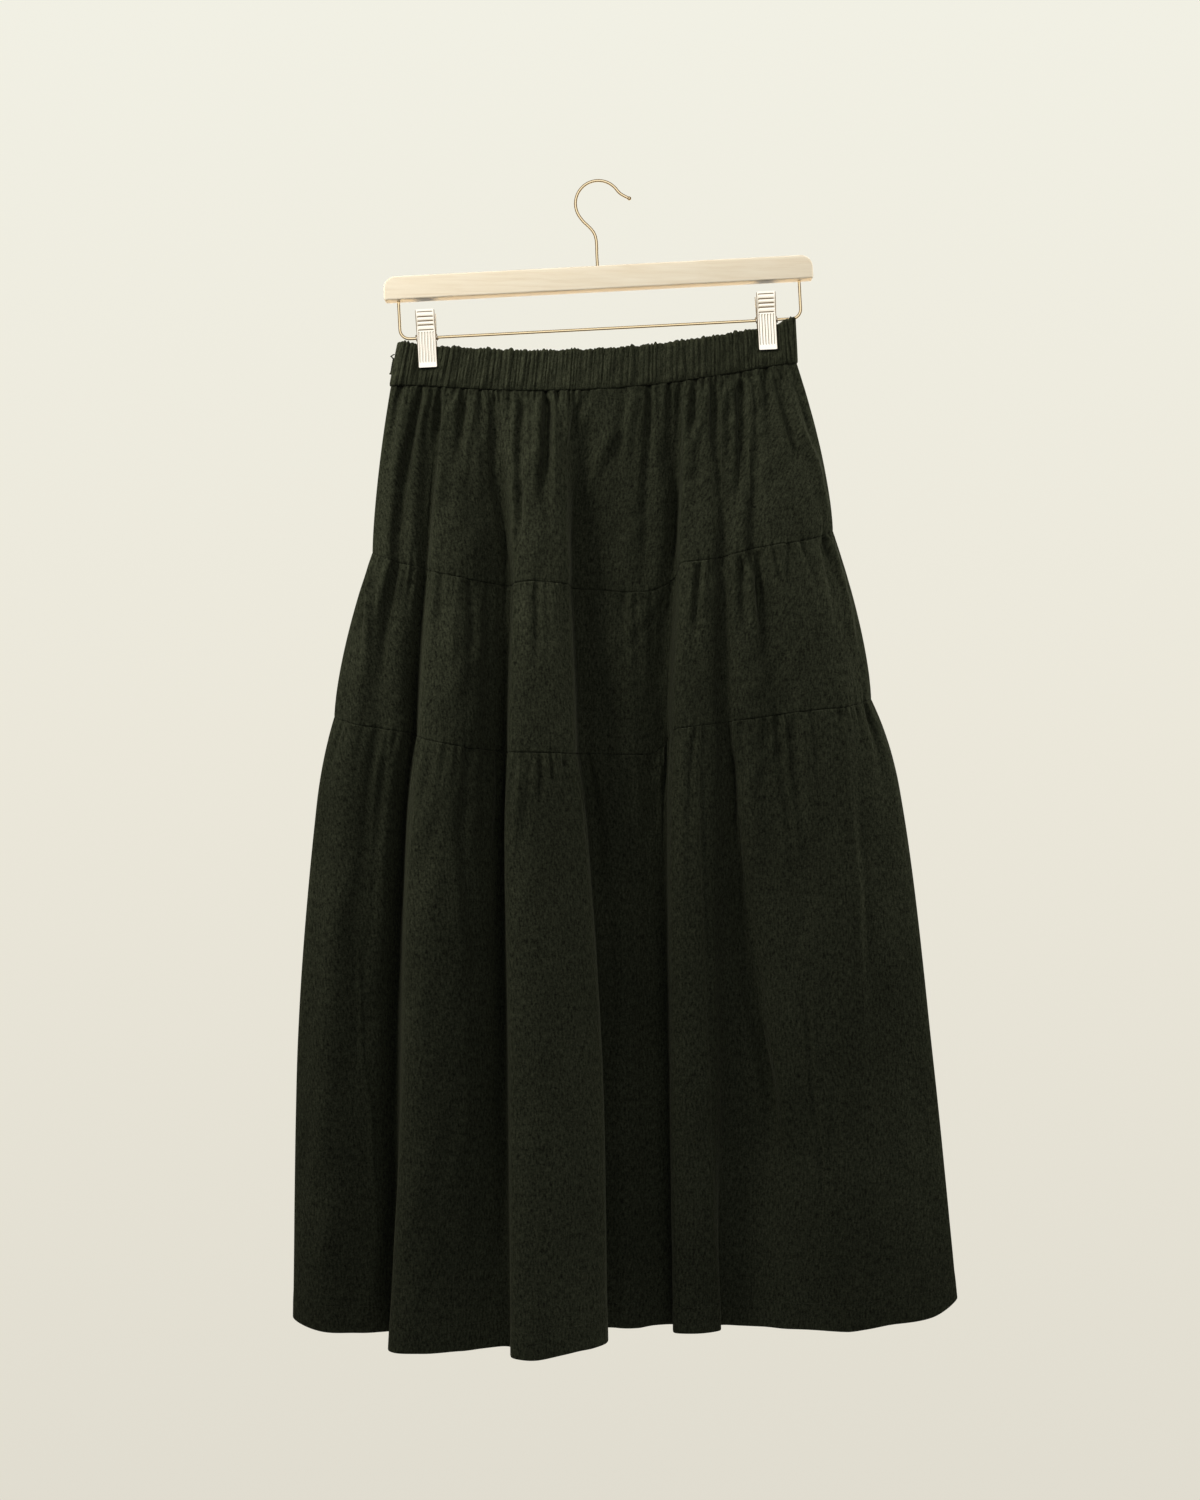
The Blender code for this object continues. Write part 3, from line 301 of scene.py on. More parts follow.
# Creases of the front, by the fold lines that they lie between: height (a trough is below 0),
# half width, share of the length over which they die away, and the x, z that they run through.
CREASE_RELIEF = 1.2
FRONT_CREASES = {
    ("left_seam", "b_valley"): (
        (-2.4, 3.4, 0.3, (-147, -172), (-157, -222), (-165, -280), (-170, -318)),
        (1.6, 3.2, 0.5, (-158, -172), (-166, -215), (-173, -262)),
        (-1.6, 2.4, 0.6, (-138, -176), (-144, -205), (-146, -240)),
        (2.4, 2.6, 0.5, (-190, -318), (-191, -360), (-193, -405)),
        (-2.0, 2.4, 0.5, (-195, -318), (-196, -360), (-199, -400)),
        (-1.6, 3.0, 0.5, (-170, -320), (-176, -370), (-182, -430)),
    ),
    ("a_dip", "b_edge"): ((-2.6, 3.0, 0.3, (-134, -176), (-133, -222), (-137, -280), (-140, -322)),),
    ("b_edge", "c_valley"): (
        (2.4, 3.6, 0.4, (-119, -180), (-127, -201), (-129, -222), (-134, -296)),
        (-2.4, 4.2, 0.5, (-113, -181), (-113, -222), (-112, -275)),
        (-1.8, 2.2, 0.8, (-97, -178), (-95, -196), (-96, -215)),
        (1.8, 3.4, 0.5, (-104, -180), (-101, -225), (-99, -282)),
        (-2.2, 3.0, 0.6, (-106, -334), (-105, -370), (-104, -420)),
        (1.6, 3.2, 0.6, (-118, -332), (-120, -375), (-121, -430)),
        (-2.4, 4.6, 0.5, (-106, -470), (-111, -545), (-105, -620), (-92, -690)),
    ),
    ("b_shoulder", "c_edge"): ((-2.5, 3.2, 0.2, (-88, -178), (-88, -246), (-80, -296), (-73, -338)),),
    ("c_edge", "c_return"): (
        (-4.2, 3.2, 0.35, (-64, -181), (-66, -232), (-65, -284), (-70, -330)),
        (-4.0, 3.6, 0.5, (-41, -181), (-42, -222), (-46, -258), (-50, -290)),
        (2.0, 3.4, 0.5, (-50, -181), (-53, -222), (-56, -275)),
        (2.2, 3.4, 0.4, (-33, -181), (-36, -222), (-36, -300)),
        (-2.0, 3.0, 0.6, (-52, -340), (-50, -375), (-50, -415)),
        (1.8, 3.4, 0.5, (-38, -340), (-36, -380), (-35, -440)),
        (2.2, 3.6, 0.5, (-61, -484), (-66, -530), (-71, -578)),
        (-1.8, 2.8, 0.6, (-46, -482), (-47, -505), (-48, -540)),
        (-1.6, 2.8, 0.6, (-28, -482), (-29, -510), (-28, -550)),
    ),
    ("c_face", "d_ridge"): ((-3.2, 3.4, 0.3, (-15, -184), (-25, -227), (-24, -271), (-23, -335)),),
    ("d_valley", "e_valley"): (
        (2.6, 4.6, 0.5, (14, -205), (7, -222), (-6, -252), (-13, -285)),
        (-1.8, 2.2, 0.4, (0, -285), (-1, -320), (-1, -350)),
        (-2.2, 2.8, 0.7, (22, -179), (18, -210), (17, -262)),
        (2.0, 3.2, 0.5, (31, -178), (25, -212), (24, -262)),
        (-2.2, 2.8, 0.7, (44, -178), (42, -215), (45, -255)),
        (-1.8, 3.2, 0.6, (18, -346), (19, -380), (20, -430)),
        (-1.8, 4.0, 0.5, (24, -484), (26, -560), (30, -700)),
    ),
    ("d_floor", "e_edge"): (
        (-3.0, 4.2, 0.4, (66, -176), (68, -214), (69, -236), (64, -290), (57, -358)),
    ),
    ("e_edge", "f_valley"): (
        (2.4, 3.4, 0.4, (90, -174), (85, -206), (76, -226), (75, -276)),
        (-2.2, 3.2, 0.4, (97, -170), (96, -207), (94, -242)),
        (-1.8, 2.6, 0.6, (80, -172), (79, -190), (83, -212)),
        (-2.0, 2.8, 0.6, (82, -322), (82, -350), (81, -390)),
        (1.2, 2.4, 0.6, (71, -458), (70, -530), (70, -620), (70, -700)),
    ),
    ("e_return", "f_ridge"): ((2.6, 3.6, 0.4, (109, -170), (104, -194), (104, -262), (98, -296)),),
    ("f_valley", "g_ridge"): (
        (-4.2, 3.4, 0.4, (120, -166), (119, -222), (116, -263), (114, -296)),
        (-2.6, 3.0, 0.6, (120, -316), (119, -340), (121, -390)),
        (2.2, 3.2, 0.5, (126, -314), (127, -350), (131, -410)),
        (-0.8, 3.0, 0.5, (149, -446), (155, -509), (161, -558), (165, -598)),
        (0.9, 3.4, 0.5, (155, -446), (159, -509), (165, -558), (170, -610)),
    ),
    ("f_ridge", "g_ridge"): ((2.4, 3.4, 0.5, (127, -166), (127, -200), (126, -262), (123, -300)),),
    ("f_ridge", "g_crease"): (
        (-1.8, 3.4, 0.6, (139, -166), (140, -196), (142, -236)),
        (-2.4, 3.0, 0.6, (134, -312), (133, -339), (136, -370)),
        (-2.0, 2.8, 0.6, (158, -304), (157, -322), (161, -356)),
    ),
    ("g_ridge", "right_seam"): (
        (-2.4, 3.6, 0.5, (149, -163), (156, -194), (163, -228), (165, -262)),
        (2.8, 4.0, 0.3, (153, -163), (163, -197), (181, -236), (190, -272), (193, -300)),
        (-1.8, 3.4, 0.5, (186, -300), (193, -340), (201, -395)),
        (1.3, 3.0, 0.5, (203, -448), (209, -529), (216, -603), (218, -677), (222, -760)),
    ),
    ("g_crease", "right_seam"): ((3.0, 3.6, 0.4, (193, -297), (199, -318), (207, -352), (216, -410)),),
    ("e_edge", "f_rise"): (
        (-1.6, 2.4, 0.2, (84, -470), (86, -560), (92, -700), (97, -820), (103, -945)),
    ),
    ("f_valley", "f_dip"): (
        (-4.0, 5.6, 0.3, (110, -470), (114, -545), (119, -640), (124, -672), (137, -720),
         (145, -765), (152, -818), (158, -850)),
    ),
    ("f_rise", "g_ridge"): (
        (1.6, 3.6, 0.5, (118, -500), (124, -600), (136, -690), (152, -765), (163, -840)),
    ),
    ("f_valley", "g_crease"): (
        (-1.2, 2.2, 0.3, (172, -672), (179, -768), (185, -806), (188, -854), (183, -868)),
    ),
    ("a_crest", "b_valley"): (
        (-1.4, 3.4, 0.4, (-176, -462), (-184, -560), (-192, -660)),
        (1.1, 1.8, 0.3, (-199, -640), (-197, -730), (-190, -780), (-189, -826), (-183, -886)),
    ),
}
CREASE_START = 0.06             # share of the length over which they begin
# The back's creases, drawn by lot: longest, deepest and how many in each tier.
BACK_CREASES = {"tier1": (155.0, 2.6, 13), "tier2": (138.0, 2.2, 13), "tier3": (420.0, 2.0, 11)}
BACK_CREASE_SEED = 41
TROUGH_SHARE = 0.6              # the rest are ridges
CREASE_LENGTHS, CREASE_HEIGHTS, CREASE_WIDTHS = (0.35, 1.0), (0.5, 1.1), (2.8, 4.6)
CREASE_LEAN, CREASE_FLARE = 0.05, 0.10
# The small dents of washed cotton: a sum of waves, in radians for each millimetre.
CRUMPLE_SEED = 7
CRUMPLE_WAVES = 22
CRUMPLE_ACROSS, CRUMPLE_DOWN, CRUMPLE_BEND = (0.06, 0.34), (0.01, 0.10), (0.01, 0.03)
CRUMPLE_HEIGHT, CRUMPLE_SLOWEST, CRUMPLE_WARP = 0.05, 0.25, 1.2


# ---- Curves ----
def lerp(start, end, share):
    return start + (end - start) * share


def smoothstep(share):
    share = np.clip(share, 0.0, 1.0)
    return share * share * (3.0 - 2.0 * share)


def between(value, limits):
    """Smooth step from 0 at the first limit to 1 at the second."""
    return smoothstep((value - limits[0]) / (limits[1] - limits[0]))


def bell(away):
    return np.exp(-away ** 2)


def trough(away, lip):
    """Section of a soft trough with raised lips, by distance in half widths from its middle."""
    return bell(away) - lip * bell(np.abs(away) - LIP_PLACE)


def quarter_round(share, least=0.0):
    """Height of a quarter circle at a share of its radius, from 0 to 1."""
    return np.sqrt(np.clip(1.0 - (1.0 - np.minimum(share, 1.0)) ** 2, least, 1.0))


def turned_in(distance, depth=SEAM_SINK, reach=SEAM_ROUND):
    """How far the cloth sinks at this distance from a seam."""
    return depth * np.maximum(0.0, 1.0 - distance / reach) ** 2


def slope_at(knots, values, index):
    """Slope of a smooth curve at a knot, from the chords beside it."""
    chords = np.diff(values) / np.diff(knots)
    if index == 0:
        return PUFF_POWER * chords[0]
    if index == len(chords):
        return chords[-1]
    before, after = chords[index - 1:index + 1]
    return 2.0 * before * after / (before + after) if before * after > 0.0 else 0.0


def smooth_between(knots, values, where):
    """Cubic curve through values at knots, with no overshoot."""
    index = 0
    while index < len(knots) - 2 and where > knots[index + 1]:
        index += 1
    width = knots[index + 1] - knots[index]
    t = (where - knots[index]) / width
    slope_0 = slope_at(knots, values, index) * width
    slope_1 = slope_at(knots, values, index + 1) * width
    return (
        values[index] * (2 * t ** 3 - 3 * t ** 2 + 1) + slope_0 * (t ** 3 - 2 * t ** 2 + t)
        + values[index + 1] * (3 * t ** 2 - 2 * t ** 3) + slope_1 * (t ** 3 - t ** 2)
    )


def rounded_points(corners, index, t):
    """Points on the centripetal Catmull-Rom curve through each row's corners."""
    count = corners.shape[1]
    p0, p1, p2, p3 = (corners[:, (index + step) % count] for step in (-1, 0, 1, 2))

    def stride(here, there):
        return np.maximum(np.linalg.norm(there - here, axis=-1, keepdims=True), 1e-6) ** 0.5

    k1 = stride(p0, p1)
    k2 = k1 + stride(p1, p2)
    k3 = k2 + stride(p2, p3)
    where = lerp(k1, k2, t[None, :, None])
    a1 = (p0 * (k1 - where) + p1 * where) / k1
    a2 = (p1 * (k2 - where) + p2 * (where - k1)) / (k2 - k1)
    a3 = (p2 * (k3 - where) + p3 * (where - k2)) / (k3 - k2)
    b1 = (a1 * (k2 - where) + a2 * where) / k2
    b2 = (a2 * (k3 - where) + a3 * (where - k1)) / (k3 - k1)
    return (b1 * (k2 - where) + b2 * (where - k1)) / (k2 - k1)


# ---- The form that the cloth follows ----
FRONT_NAMES = [fold[0] for fold in FRONT_FOLDS]
FRONT_COUNT = len(FRONT_FOLDS)
ALL_COUNT = FRONT_COUNT + len(BACK_FOLDS)


def band_top_height(x):
    return BAND_AT_CLIPS + BAND_SLOPE * x - BAND_SAG * (1.0 - (x / CLIP_REACH) ** 2)


def band_seam_height(x):
    return band_top_height(x) - BAND_HEIGHT - BAND_END_RISE * (abs(x) / BAND_END_X) ** 8


def band_half_gap(x, end_distance):
    """Distance of the band's wall from the middle plane, closing at its ends."""
    middle = np.maximum(0.0, 1.0 - (x / CLIP_REACH) ** 2)
    return lerp(*BAND_HALF_GAP, middle) * quarter_round(end_distance / BAND_END_ROUND)


def front_heights():
    """Heights of seam 1, seam 2 and hem at every front fold line."""
    stations = [FRONT_NAMES.index(row[0]) for row in FRONT_HEIGHTS]
    levels = zip(*[row[1:] for row in FRONT_HEIGHTS])
    return np.array([np.interp(range(FRONT_COUNT), stations, level) for level in levels]).T


def below_seam(seam, hem):
    """What it is at the knee, the calf and the hem, from seam 2 and the hem."""
    return [lerp(seam, hem, KNEE_SHARE), lerp(seam, hem, CALF_SHARE), hem]


def fold_line(across, depths, heights, sign):
    """A fold line's six points: band seam, seam 1, seam 2, knee, calf and hem."""
    seam_1, seam_2, hem = heights
    first, last = FRONT_FOLDS[0][1][0], FRONT_FOLDS[-1][1][0]
    top = band_half_gap(across[0], min(across[0] - first, last - across[0]))
    levels = [band_seam_height(across[0]), seam_1, seam_2, *below_seam(seam_2, hem)]
    return [(x, sign * y, z) for x, y, z in zip(across, [top, *depths], levels)]


def fold_points():
    """The points of every fold line, all round."""
    lines = [fold_line(across, depths, heights, -1.0)
             for (_, across, depths), heights in zip(FRONT_FOLDS, front_heights())]
    right, left = np.array(lines[-1]), np.array(lines[0])
    for _, share_1, share_hem, depth_1, depth_2, depth_hem in BACK_FOLDS:
        share_2 = lerp(share_1, share_hem, BACK_NARROWING)
        shares = [share_1, share_1, share_2] + below_seam(share_2, share_hem)
        across = [lerp(right[i, 0], left[i, 0], share) for i, share in enumerate(shares)]
        heights = []
        for level, sag in zip(SAGGING_LEVELS, BACK_SAGS):
            share = shares[level]
            straight = lerp(right[level, 2], left[level, 2], share)
            heights.append(straight - sag * 4.0 * share * (1.0 - share))
        depths = [depth_1, depth_2] + below_seam(depth_2, depth_hem)
        lines.append(fold_line(across, depths, heights, 1.0))
    return np.array(lines, float)


def corner_rows(lines, tier, shares):
    """Each fold line's point at every share of a tier's height, one row for each share."""
    rows = []
    for share in shares:
        if tier == "tier3":
            knots = (0.0, KNEE_SHARE, CALF_SHARE, 1.0)
            row = [[smooth_between(knots, line[2:, axis], share) for axis in (0, 1)]
                   + [lerp(line[2, 2], line[5, 2], share)] for line in lines]
        else:
            top, low = (0, 1) if tier == "tier1" else (1, 2)
            out = 1.0 - (1.0 - share) ** PUFF_POWER
            row = lerp(lines[:, top], lines[:, low], out)
            row[:, 2] = lerp(lines[:, top, 2], lines[:, low, 2], share)
        rows.append(row)
    return np.array(rows, float)


def columns(lines, side):
    """Where a panel's columns stand: fold line and share of the way to the next one."""
    first, last = (0, FRONT_COUNT - 1) if side == "front" else (FRONT_COUNT - 1, ALL_COUNT)
    corners = corner_rows(lines, "tier3", (CALF_SHARE,))[0]
    index, t = [], []
    for line in range(first, last):
        width = np.linalg.norm(corners[(line + 1) % ALL_COUNT] - corners[line])
        steps = max(4, round(width / COLUMN_PITCH[side]))
        index += [line] * steps
        t += [step / steps for step in range(steps)]
    return np.array(index + [last]), np.array(t + [0.0])


def row_shares(height, edge_below):
    """Rows close together at the seams and among the gathers, wider apart further down."""
    drops = list(SEAM_ROWS)
    while drops[-1] < height - FINE_ROW:
        drops.append(drops[-1] + (FINE_ROW if drops[-1] < FINE_REACH else COARSE_ROW))
    drops = [drop for drop in drops if drop < height - SEAM_ROWS[-1] - 0.4]
    drops += [height - drop for drop in reversed(SEAM_ROWS)]
    if edge_below == "hem":
        drops[-6:-5] = [height - HEM_DEPTH - 2.0, height - HEM_DEPTH]
        drops = sorted(drops)
    return np.array(drops) / height


# ---- Gathers and creases ----
def gather_field(along, drops, pitch, height, reach, seed, dying=True):
    """Rounded ridges between pinched valleys, uneven in width, height and length."""
    draw = random.Random(seed)
    valleys = [along[0] - draw.uniform(0.2, 0.9) * pitch]
    while valleys[-1] < along[-1] + 2.0 * pitch:
        valleys.append(valleys[-1] + pitch * draw.uniform(*RIDGE_SPACING))
    count = len(valleys)
    drifts = np.array([draw.uniform(-RIDGE_DRIFT, RIDGE_DRIFT) * pitch for _ in range(count)])
    sizes = np.array([draw.uniform(*RIDGE_SIZES) for _ in range(count)])
    reaches = np.array([draw.uniform(*RIDGE_REACHES) * reach for _ in range(count)])
    field = np.zeros_like(drops)
    for row, drop in enumerate(drops):
        places = np.array(valleys) + drifts * min(drop.mean() / reach, 1.0)
        ridge = np.clip(np.searchsorted(places, along, side="right") - 1, 0, count - 2)
        width = places[ridge + 1] - places[ridge]
        across = np.clip((along - places[ridge]) / width, 0.0, 1.0)
        shape = sizes[ridge] * np.sqrt(width / pitch) * (1.0 - (2.0 * across - 1.0) ** 2)
        if dying:
            rise = lerp(RIDGE_START, 1.0, smoothstep(drop / (RIDGE_OPENING * reach)))
            shape = shape * rise * np.exp(-(drop / reaches[ridge]) ** RIDGE_FADE)
        field[row] = height * shape
    return field


def pinch_field(along, drops, pitch, depth, width, reach, seed):
    """Sharp little valleys at a seam that widen and die away below it."""
    draw = random.Random(seed)
    field = np.zeros_like(drops)
    place = along[0]
    while place < along[-1]:
        place += pitch * draw.uniform(*PINCH_SPACING)
        deep = depth * draw.uniform(*PINCH_DEPTHS)
        long = reach * math.exp(draw.gauss(*PINCH_LENGTHS))
        lean = draw.uniform(-PINCH_LEAN, PINCH_LEAN)
        phase = draw.uniform(0.0, TURN)
        wide = width * draw.uniform(*PINCH_WIDTHS)
        near = np.abs(along - place) < 5.0 * wide + 0.35 * long
        part = drops[:, near]
        sway = PINCH_SWAY * np.sin(part / SWAY_LENGTH + phase) * part / (part + SWAY_START)
        away = (along[near] - place - lean * part - sway) / (wide + PINCH_SPREAD * part)
        fade = np.exp(-(part / long) ** PINCH_FADE)
        fade *= lerp(PINCH_START, 1.0, smoothstep(part / PINCH_OPENING + 0.25))
        field[:, near] -= deep * fade * trough(away, PINCH_LIP)
    return field


def crease_field(grid, index):
    """Soft troughs and ridges along the front's listed paths."""
    x, z = grid[..., 0], grid[..., 2]
    field = np.zeros_like(x)
    for (first, last), creases in FRONT_CREASES.items():
        inside = (index >= FRONT_NAMES.index(first)) & (index < FRONT_NAMES.index(last))
        for height, width, dying, *path in creases:
            across, heights = np.array(path, float).T
            top, low = heights[0], heights[-1]
            if z.min() > top or z.max() < low:
                continue
            centre = np.interp(-z, -heights, across)
            share = (top - z) / (top - low)
            taper = smoothstep(share / CREASE_START) * smoothstep((1.0 - share) / dying)
            field += height * trough((x - centre) / width, CREASE_LIP) * taper * inside
    return CREASE_RELIEF * field


def back_crease_field(tier, grid, drops):
    """Creases like the front's for the back, uneven in length, depth and spacing."""
    draw = random.Random(BACK_CREASE_SEED)
    field = np.zeros_like(drops)
    right, left = grid[0, 0, 0], grid[0, -1, 0]
    widen = (grid[:, :1, 0] - grid[:, -1:, 0]) / (right - left)
    for where, (longest, deepest, count) in BACK_CREASES.items():
        for number in range(count):
            share = (number + draw.uniform(0.15, 0.85)) / count
            sign = -1.0 if draw.random() < TROUGH_SHARE else 1.0
            length = longest * draw.uniform(*CREASE_LENGTHS)
            height = sign * deepest * draw.uniform(*CREASE_HEIGHTS)
            lean = draw.uniform(-CREASE_LEAN, CREASE_LEAN) + CREASE_FLARE * (0.5 - share)
            width = draw.uniform(*CREASE_WIDTHS)
            if where != tier:
                continue
            centre = lerp(right, left, share) * widen + lean * drops
            down = drops / length
            taper = smoothstep(1.6 - 1.6 * down) * smoothstep(down / 0.04 + 0.3)
            field += height * taper * trough((grid[..., 0] - centre) / width, CREASE_LIP)
    return field


def crumple(along, drops):
    """Small irregular dents of washed cotton, longer down than across."""
    draw = random.Random(CRUMPLE_SEED)
    field = np.zeros_like(along)
    for _ in range(CRUMPLE_WAVES):
        across = draw.uniform(*CRUMPLE_ACROSS) * draw.choice((-1.0, 1.0))
        down = draw.uniform(*CRUMPLE_DOWN) * draw.choice((-1.0, 1.0))
        phase = draw.uniform(0.0, TURN)
        bend = draw.uniform(*CRUMPLE_BEND)
        size = CRUMPLE_HEIGHT / (CRUMPLE_SLOWEST + math.hypot(across, down))
        warp = CRUMPLE_WARP * (np.sin(bend * drops + phase) + np.sin(1.7 * bend * along - phase))
        field += size * np.sin(across * along + down * drops + warp + phase)
    return field


def soft_waves(grid, drops):
    """Slow unevenness of hanging cloth."""
    x, z = grid[..., 0], grid[..., 2]
    wave = 0.55 * np.sin(x / 17.0 + z / 61.0 + 1.3) + 0.45 * np.sin(x / 29.0 - z / 83.0)
    wave += 0.3 * np.sin(x / 9.5 + z / 140.0 + 0.4) * np.sin(z / 47.0 + 0.8)
    return 0.7 * wave * smoothstep(drops / 40.0)


# ---- Meshes ----
def point_mesh(name, points, faces, finish):
    """Smooth piece from its points (mm) and faces."""
    mesh = bpy.data.meshes.new(name)
    mesh.from_pydata(np.array(points) * MM, [], faces)
    mesh.shade_smooth()
    return add_object(name, mesh, finish)


def grid_mesh(name, outer, inner, uv, finish):
    """Closed wall between two grids of points (mm), with the cloth's own coordinates."""
    rows, width = outer.shape[:2]
    inside = rows * width
    r, c = np.meshgrid(np.arange(rows - 1), np.arange(width - 1), indexing="ij")
    a = (r * width + c).ravel()
    face = np.stack([a, a + width, a + width + 1, a + 1], axis=1)
    faces = [face, face[:, ::-1] + inside]
    top = np.arange(width - 1)
    low = (rows - 1) * width + top
    first = np.arange(rows - 1) * width
    last = first + width - 1
    for here, there in ((top, top + 1), (low + 1, low), (first + width, first), (last, last + width)):
        faces.append(np.stack([here, there, there + inside, here + inside], axis=1))
    corners = np.concatenate(faces)
    points = np.concatenate([outer.reshape(-1, 3), inner.reshape(-1, 3)])
    made = point_mesh(name, points, corners, finish)
    layer = made.data.uv_layers.new(name="weave")
    flat = np.concatenate([uv.reshape(-1, 2)] * 2) * MM
    layer.data.foreach_set("uv", flat[corners.ravel()].astype(np.float32).ravel())
    made.data.validate()
    return made


def made_by(operation, name, **sizes):
    """Mesh made by one of bmesh's operations."""
    mesh = bpy.data.meshes.new(name)
    cage = bmesh.new()
    operation(cage, **sizes)
    cage.to_mesh(mesh)
    cage.free()
    return mesh


def put(name, data):
    made = bpy.data.objects.new(name, data)
    bpy.context.scene.collection.objects.link(made)
    return made


def add_object(name, data, finish):
    data.materials.append(finish)
    return put(name, data)


def plan_normals(grid):
    """Outward normals in plan, for rows that run left to right along the front."""
    run = np.gradient(grid, axis=1)
    out = np.stack([run[..., 1], -run[..., 0], np.zeros(run.shape[:2])], axis=-1)
    return out / np.maximum(np.linalg.norm(out, axis=-1, keepdims=True), 1e-9)


def along_rows(grid):
    """Distance across the cloth along each row."""
    steps = np.linalg.norm(np.diff(grid, axis=1), axis=-1)
    return np.concatenate([np.zeros((len(grid), 1)), np.cumsum(steps, axis=1)], axis=1)


def stitch_row(name, line, outward, pitch, finish):
    """Row of short stitches lying on a line of surface points (mm), a little uneven."""
    draw = random.Random(len(name))
    run = np.concatenate([[0.0], np.cumsum(np.linalg.norm(np.diff(line, axis=0), axis=1))])
    up = np.array([0.0, 0.0, 1.0])
    points, faces = [], []
    place = 1.0
    while place < run[-1] - pitch:
        long = pitch * draw.uniform(*STITCH_LENGTHS)
        drift = draw.uniform(-STITCH_DRIFT, STITCH_DRIFT)
        first = len(points)
        for share, lift, thick in STITCH_RINGS:
            where = place + long * share
            spot, out = (np.array([np.interp(where, run, values[:, axis]) for axis in range(3)])
                         for values in (line, outward))
            centre = spot + out * lift + up * drift * (share - 0.5)
            ways = (up, out, -up, -out) if thick else (up,)
            points += [centre + way * thick for way in ways]
        for turn in range(4):
            a, b = first + 1 + turn, first + 1 + (turn + 1) % 4
            faces += [(first, b, a), (a, b, b + 4, a + 4), (a + 4, b + 4, first + 9)]
        place += pitch * draw.uniform(*STITCH_GAPS)
    row = point_mesh(name, points, faces, finish)
    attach(row, "root")


def all_gathers(tier, side, along, drops):
    """Everything that the gathered seam at a tier's top does to the cloth under it."""
    field = np.zeros_like(drops)
    seed = GATHER_SEEDS[tier] + (BACK_SEED if side == "back" else 0)
    for number, row in enumerate(TIER_PINCHES[tier]):
        field += pinch_field(along, drops, *row, seed + 5 * number)
    for number, row in enumerate(TIER_WAVES[tier]):
        field += gather_field(along, drops, *row, seed + 50 + 5 * number)
    return field


def tier_piece(lines, tier, side, finish, thread):
    """One panel of a tier: its form, gathers, creases, seams and hem."""
    index, t = columns(lines, side)
    shares = row_shares(TIER_HEIGHTS[tier], "hem" if tier == "tier3" else "seam")
    grid = rounded_points(corner_rows(lines, tier, shares), index, t)
    out = plan_normals(grid)
    drops = grid[:1, :, 2] - grid[..., 2]
    rises = grid[..., 2] - grid[-1:, :, 2]
    along = along_rows(grid)
    ends = np.minimum(along, along[:, -1:] - along)
    facing = lerp(TURNED_RELIEF, 1.0, np.abs(out[..., 1]) ** 0.7)
    raised = all_gathers(tier, side, along[0], drops)
    raised += crease_field(grid, index) if side == "front" else back_crease_field(tier, grid, drops)
    raised += soft_waves(grid, drops) + crumple(along, drops) * facing
    raised *= facing
    if tier != "tier3":
        below = "tier2" if tier == "tier1" else "tier3"
        pucker = all_gathers(below, side, along[-1], np.zeros_like(drops[:1])) * facing[-1:]
        raised = lerp(raised, pucker, np.exp(-rises / PUCKER_REACH)) - turned_in(rises)
    raised = (raised - turned_in(drops)) * smoothstep(0.15 + ends / EDGE_CALM)
    raised -= turned_in(ends, EDGE_SINK, EDGE_ROUND)
    half = np.full_like(raised, CLOTH_WALL / 2.0)
    if tier == "tier3":
        half += HEM_EXTRA / 2.0 * smoothstep((HEM_DEPTH - rises) / 1.5 + 0.5)
        half *= quarter_round(rises / HEM_ROUND, 0.09)
    outer = grid + out * (raised + half)[..., None]
    inner = grid + out * (raised - half)[..., None]
    middle = along[:, along.shape[1] // 2][:, None]
    uv = np.stack([along - middle, -drops], axis=-1)
    if tier == "tier3":
        row = int(np.argmin(np.abs(rises[:, 0] - HEM_DEPTH + HEM_STITCH_DROP)))
        stitch_row(f"hem_stitches_{side}", outer[row, 4:-4], out[row, 4:-4], HEM_STITCH, thread)
    return grid_mesh(f"{tier}_{side}_cloth", outer, inner, uv, finish)


def clipped(x, deep):
    """How firmly a clip presses the band flat: 1 under its plates, 0 away from them."""
    pressed = np.zeros_like(x)
    for centre in CLIP_PRESS:
        beside = np.abs(x - centre) - CLIP_WIDTH / 2.0 - 0.5
        across = 1.0 - smoothstep(beside / CLIP_PRESS_SOFT[0])
        down = 1.0 - smoothstep((deep - CLIP_PRESS_DEPTH) / CLIP_PRESS_SOFT[1])
        pressed = np.maximum(pressed, across * down)
    return pressed


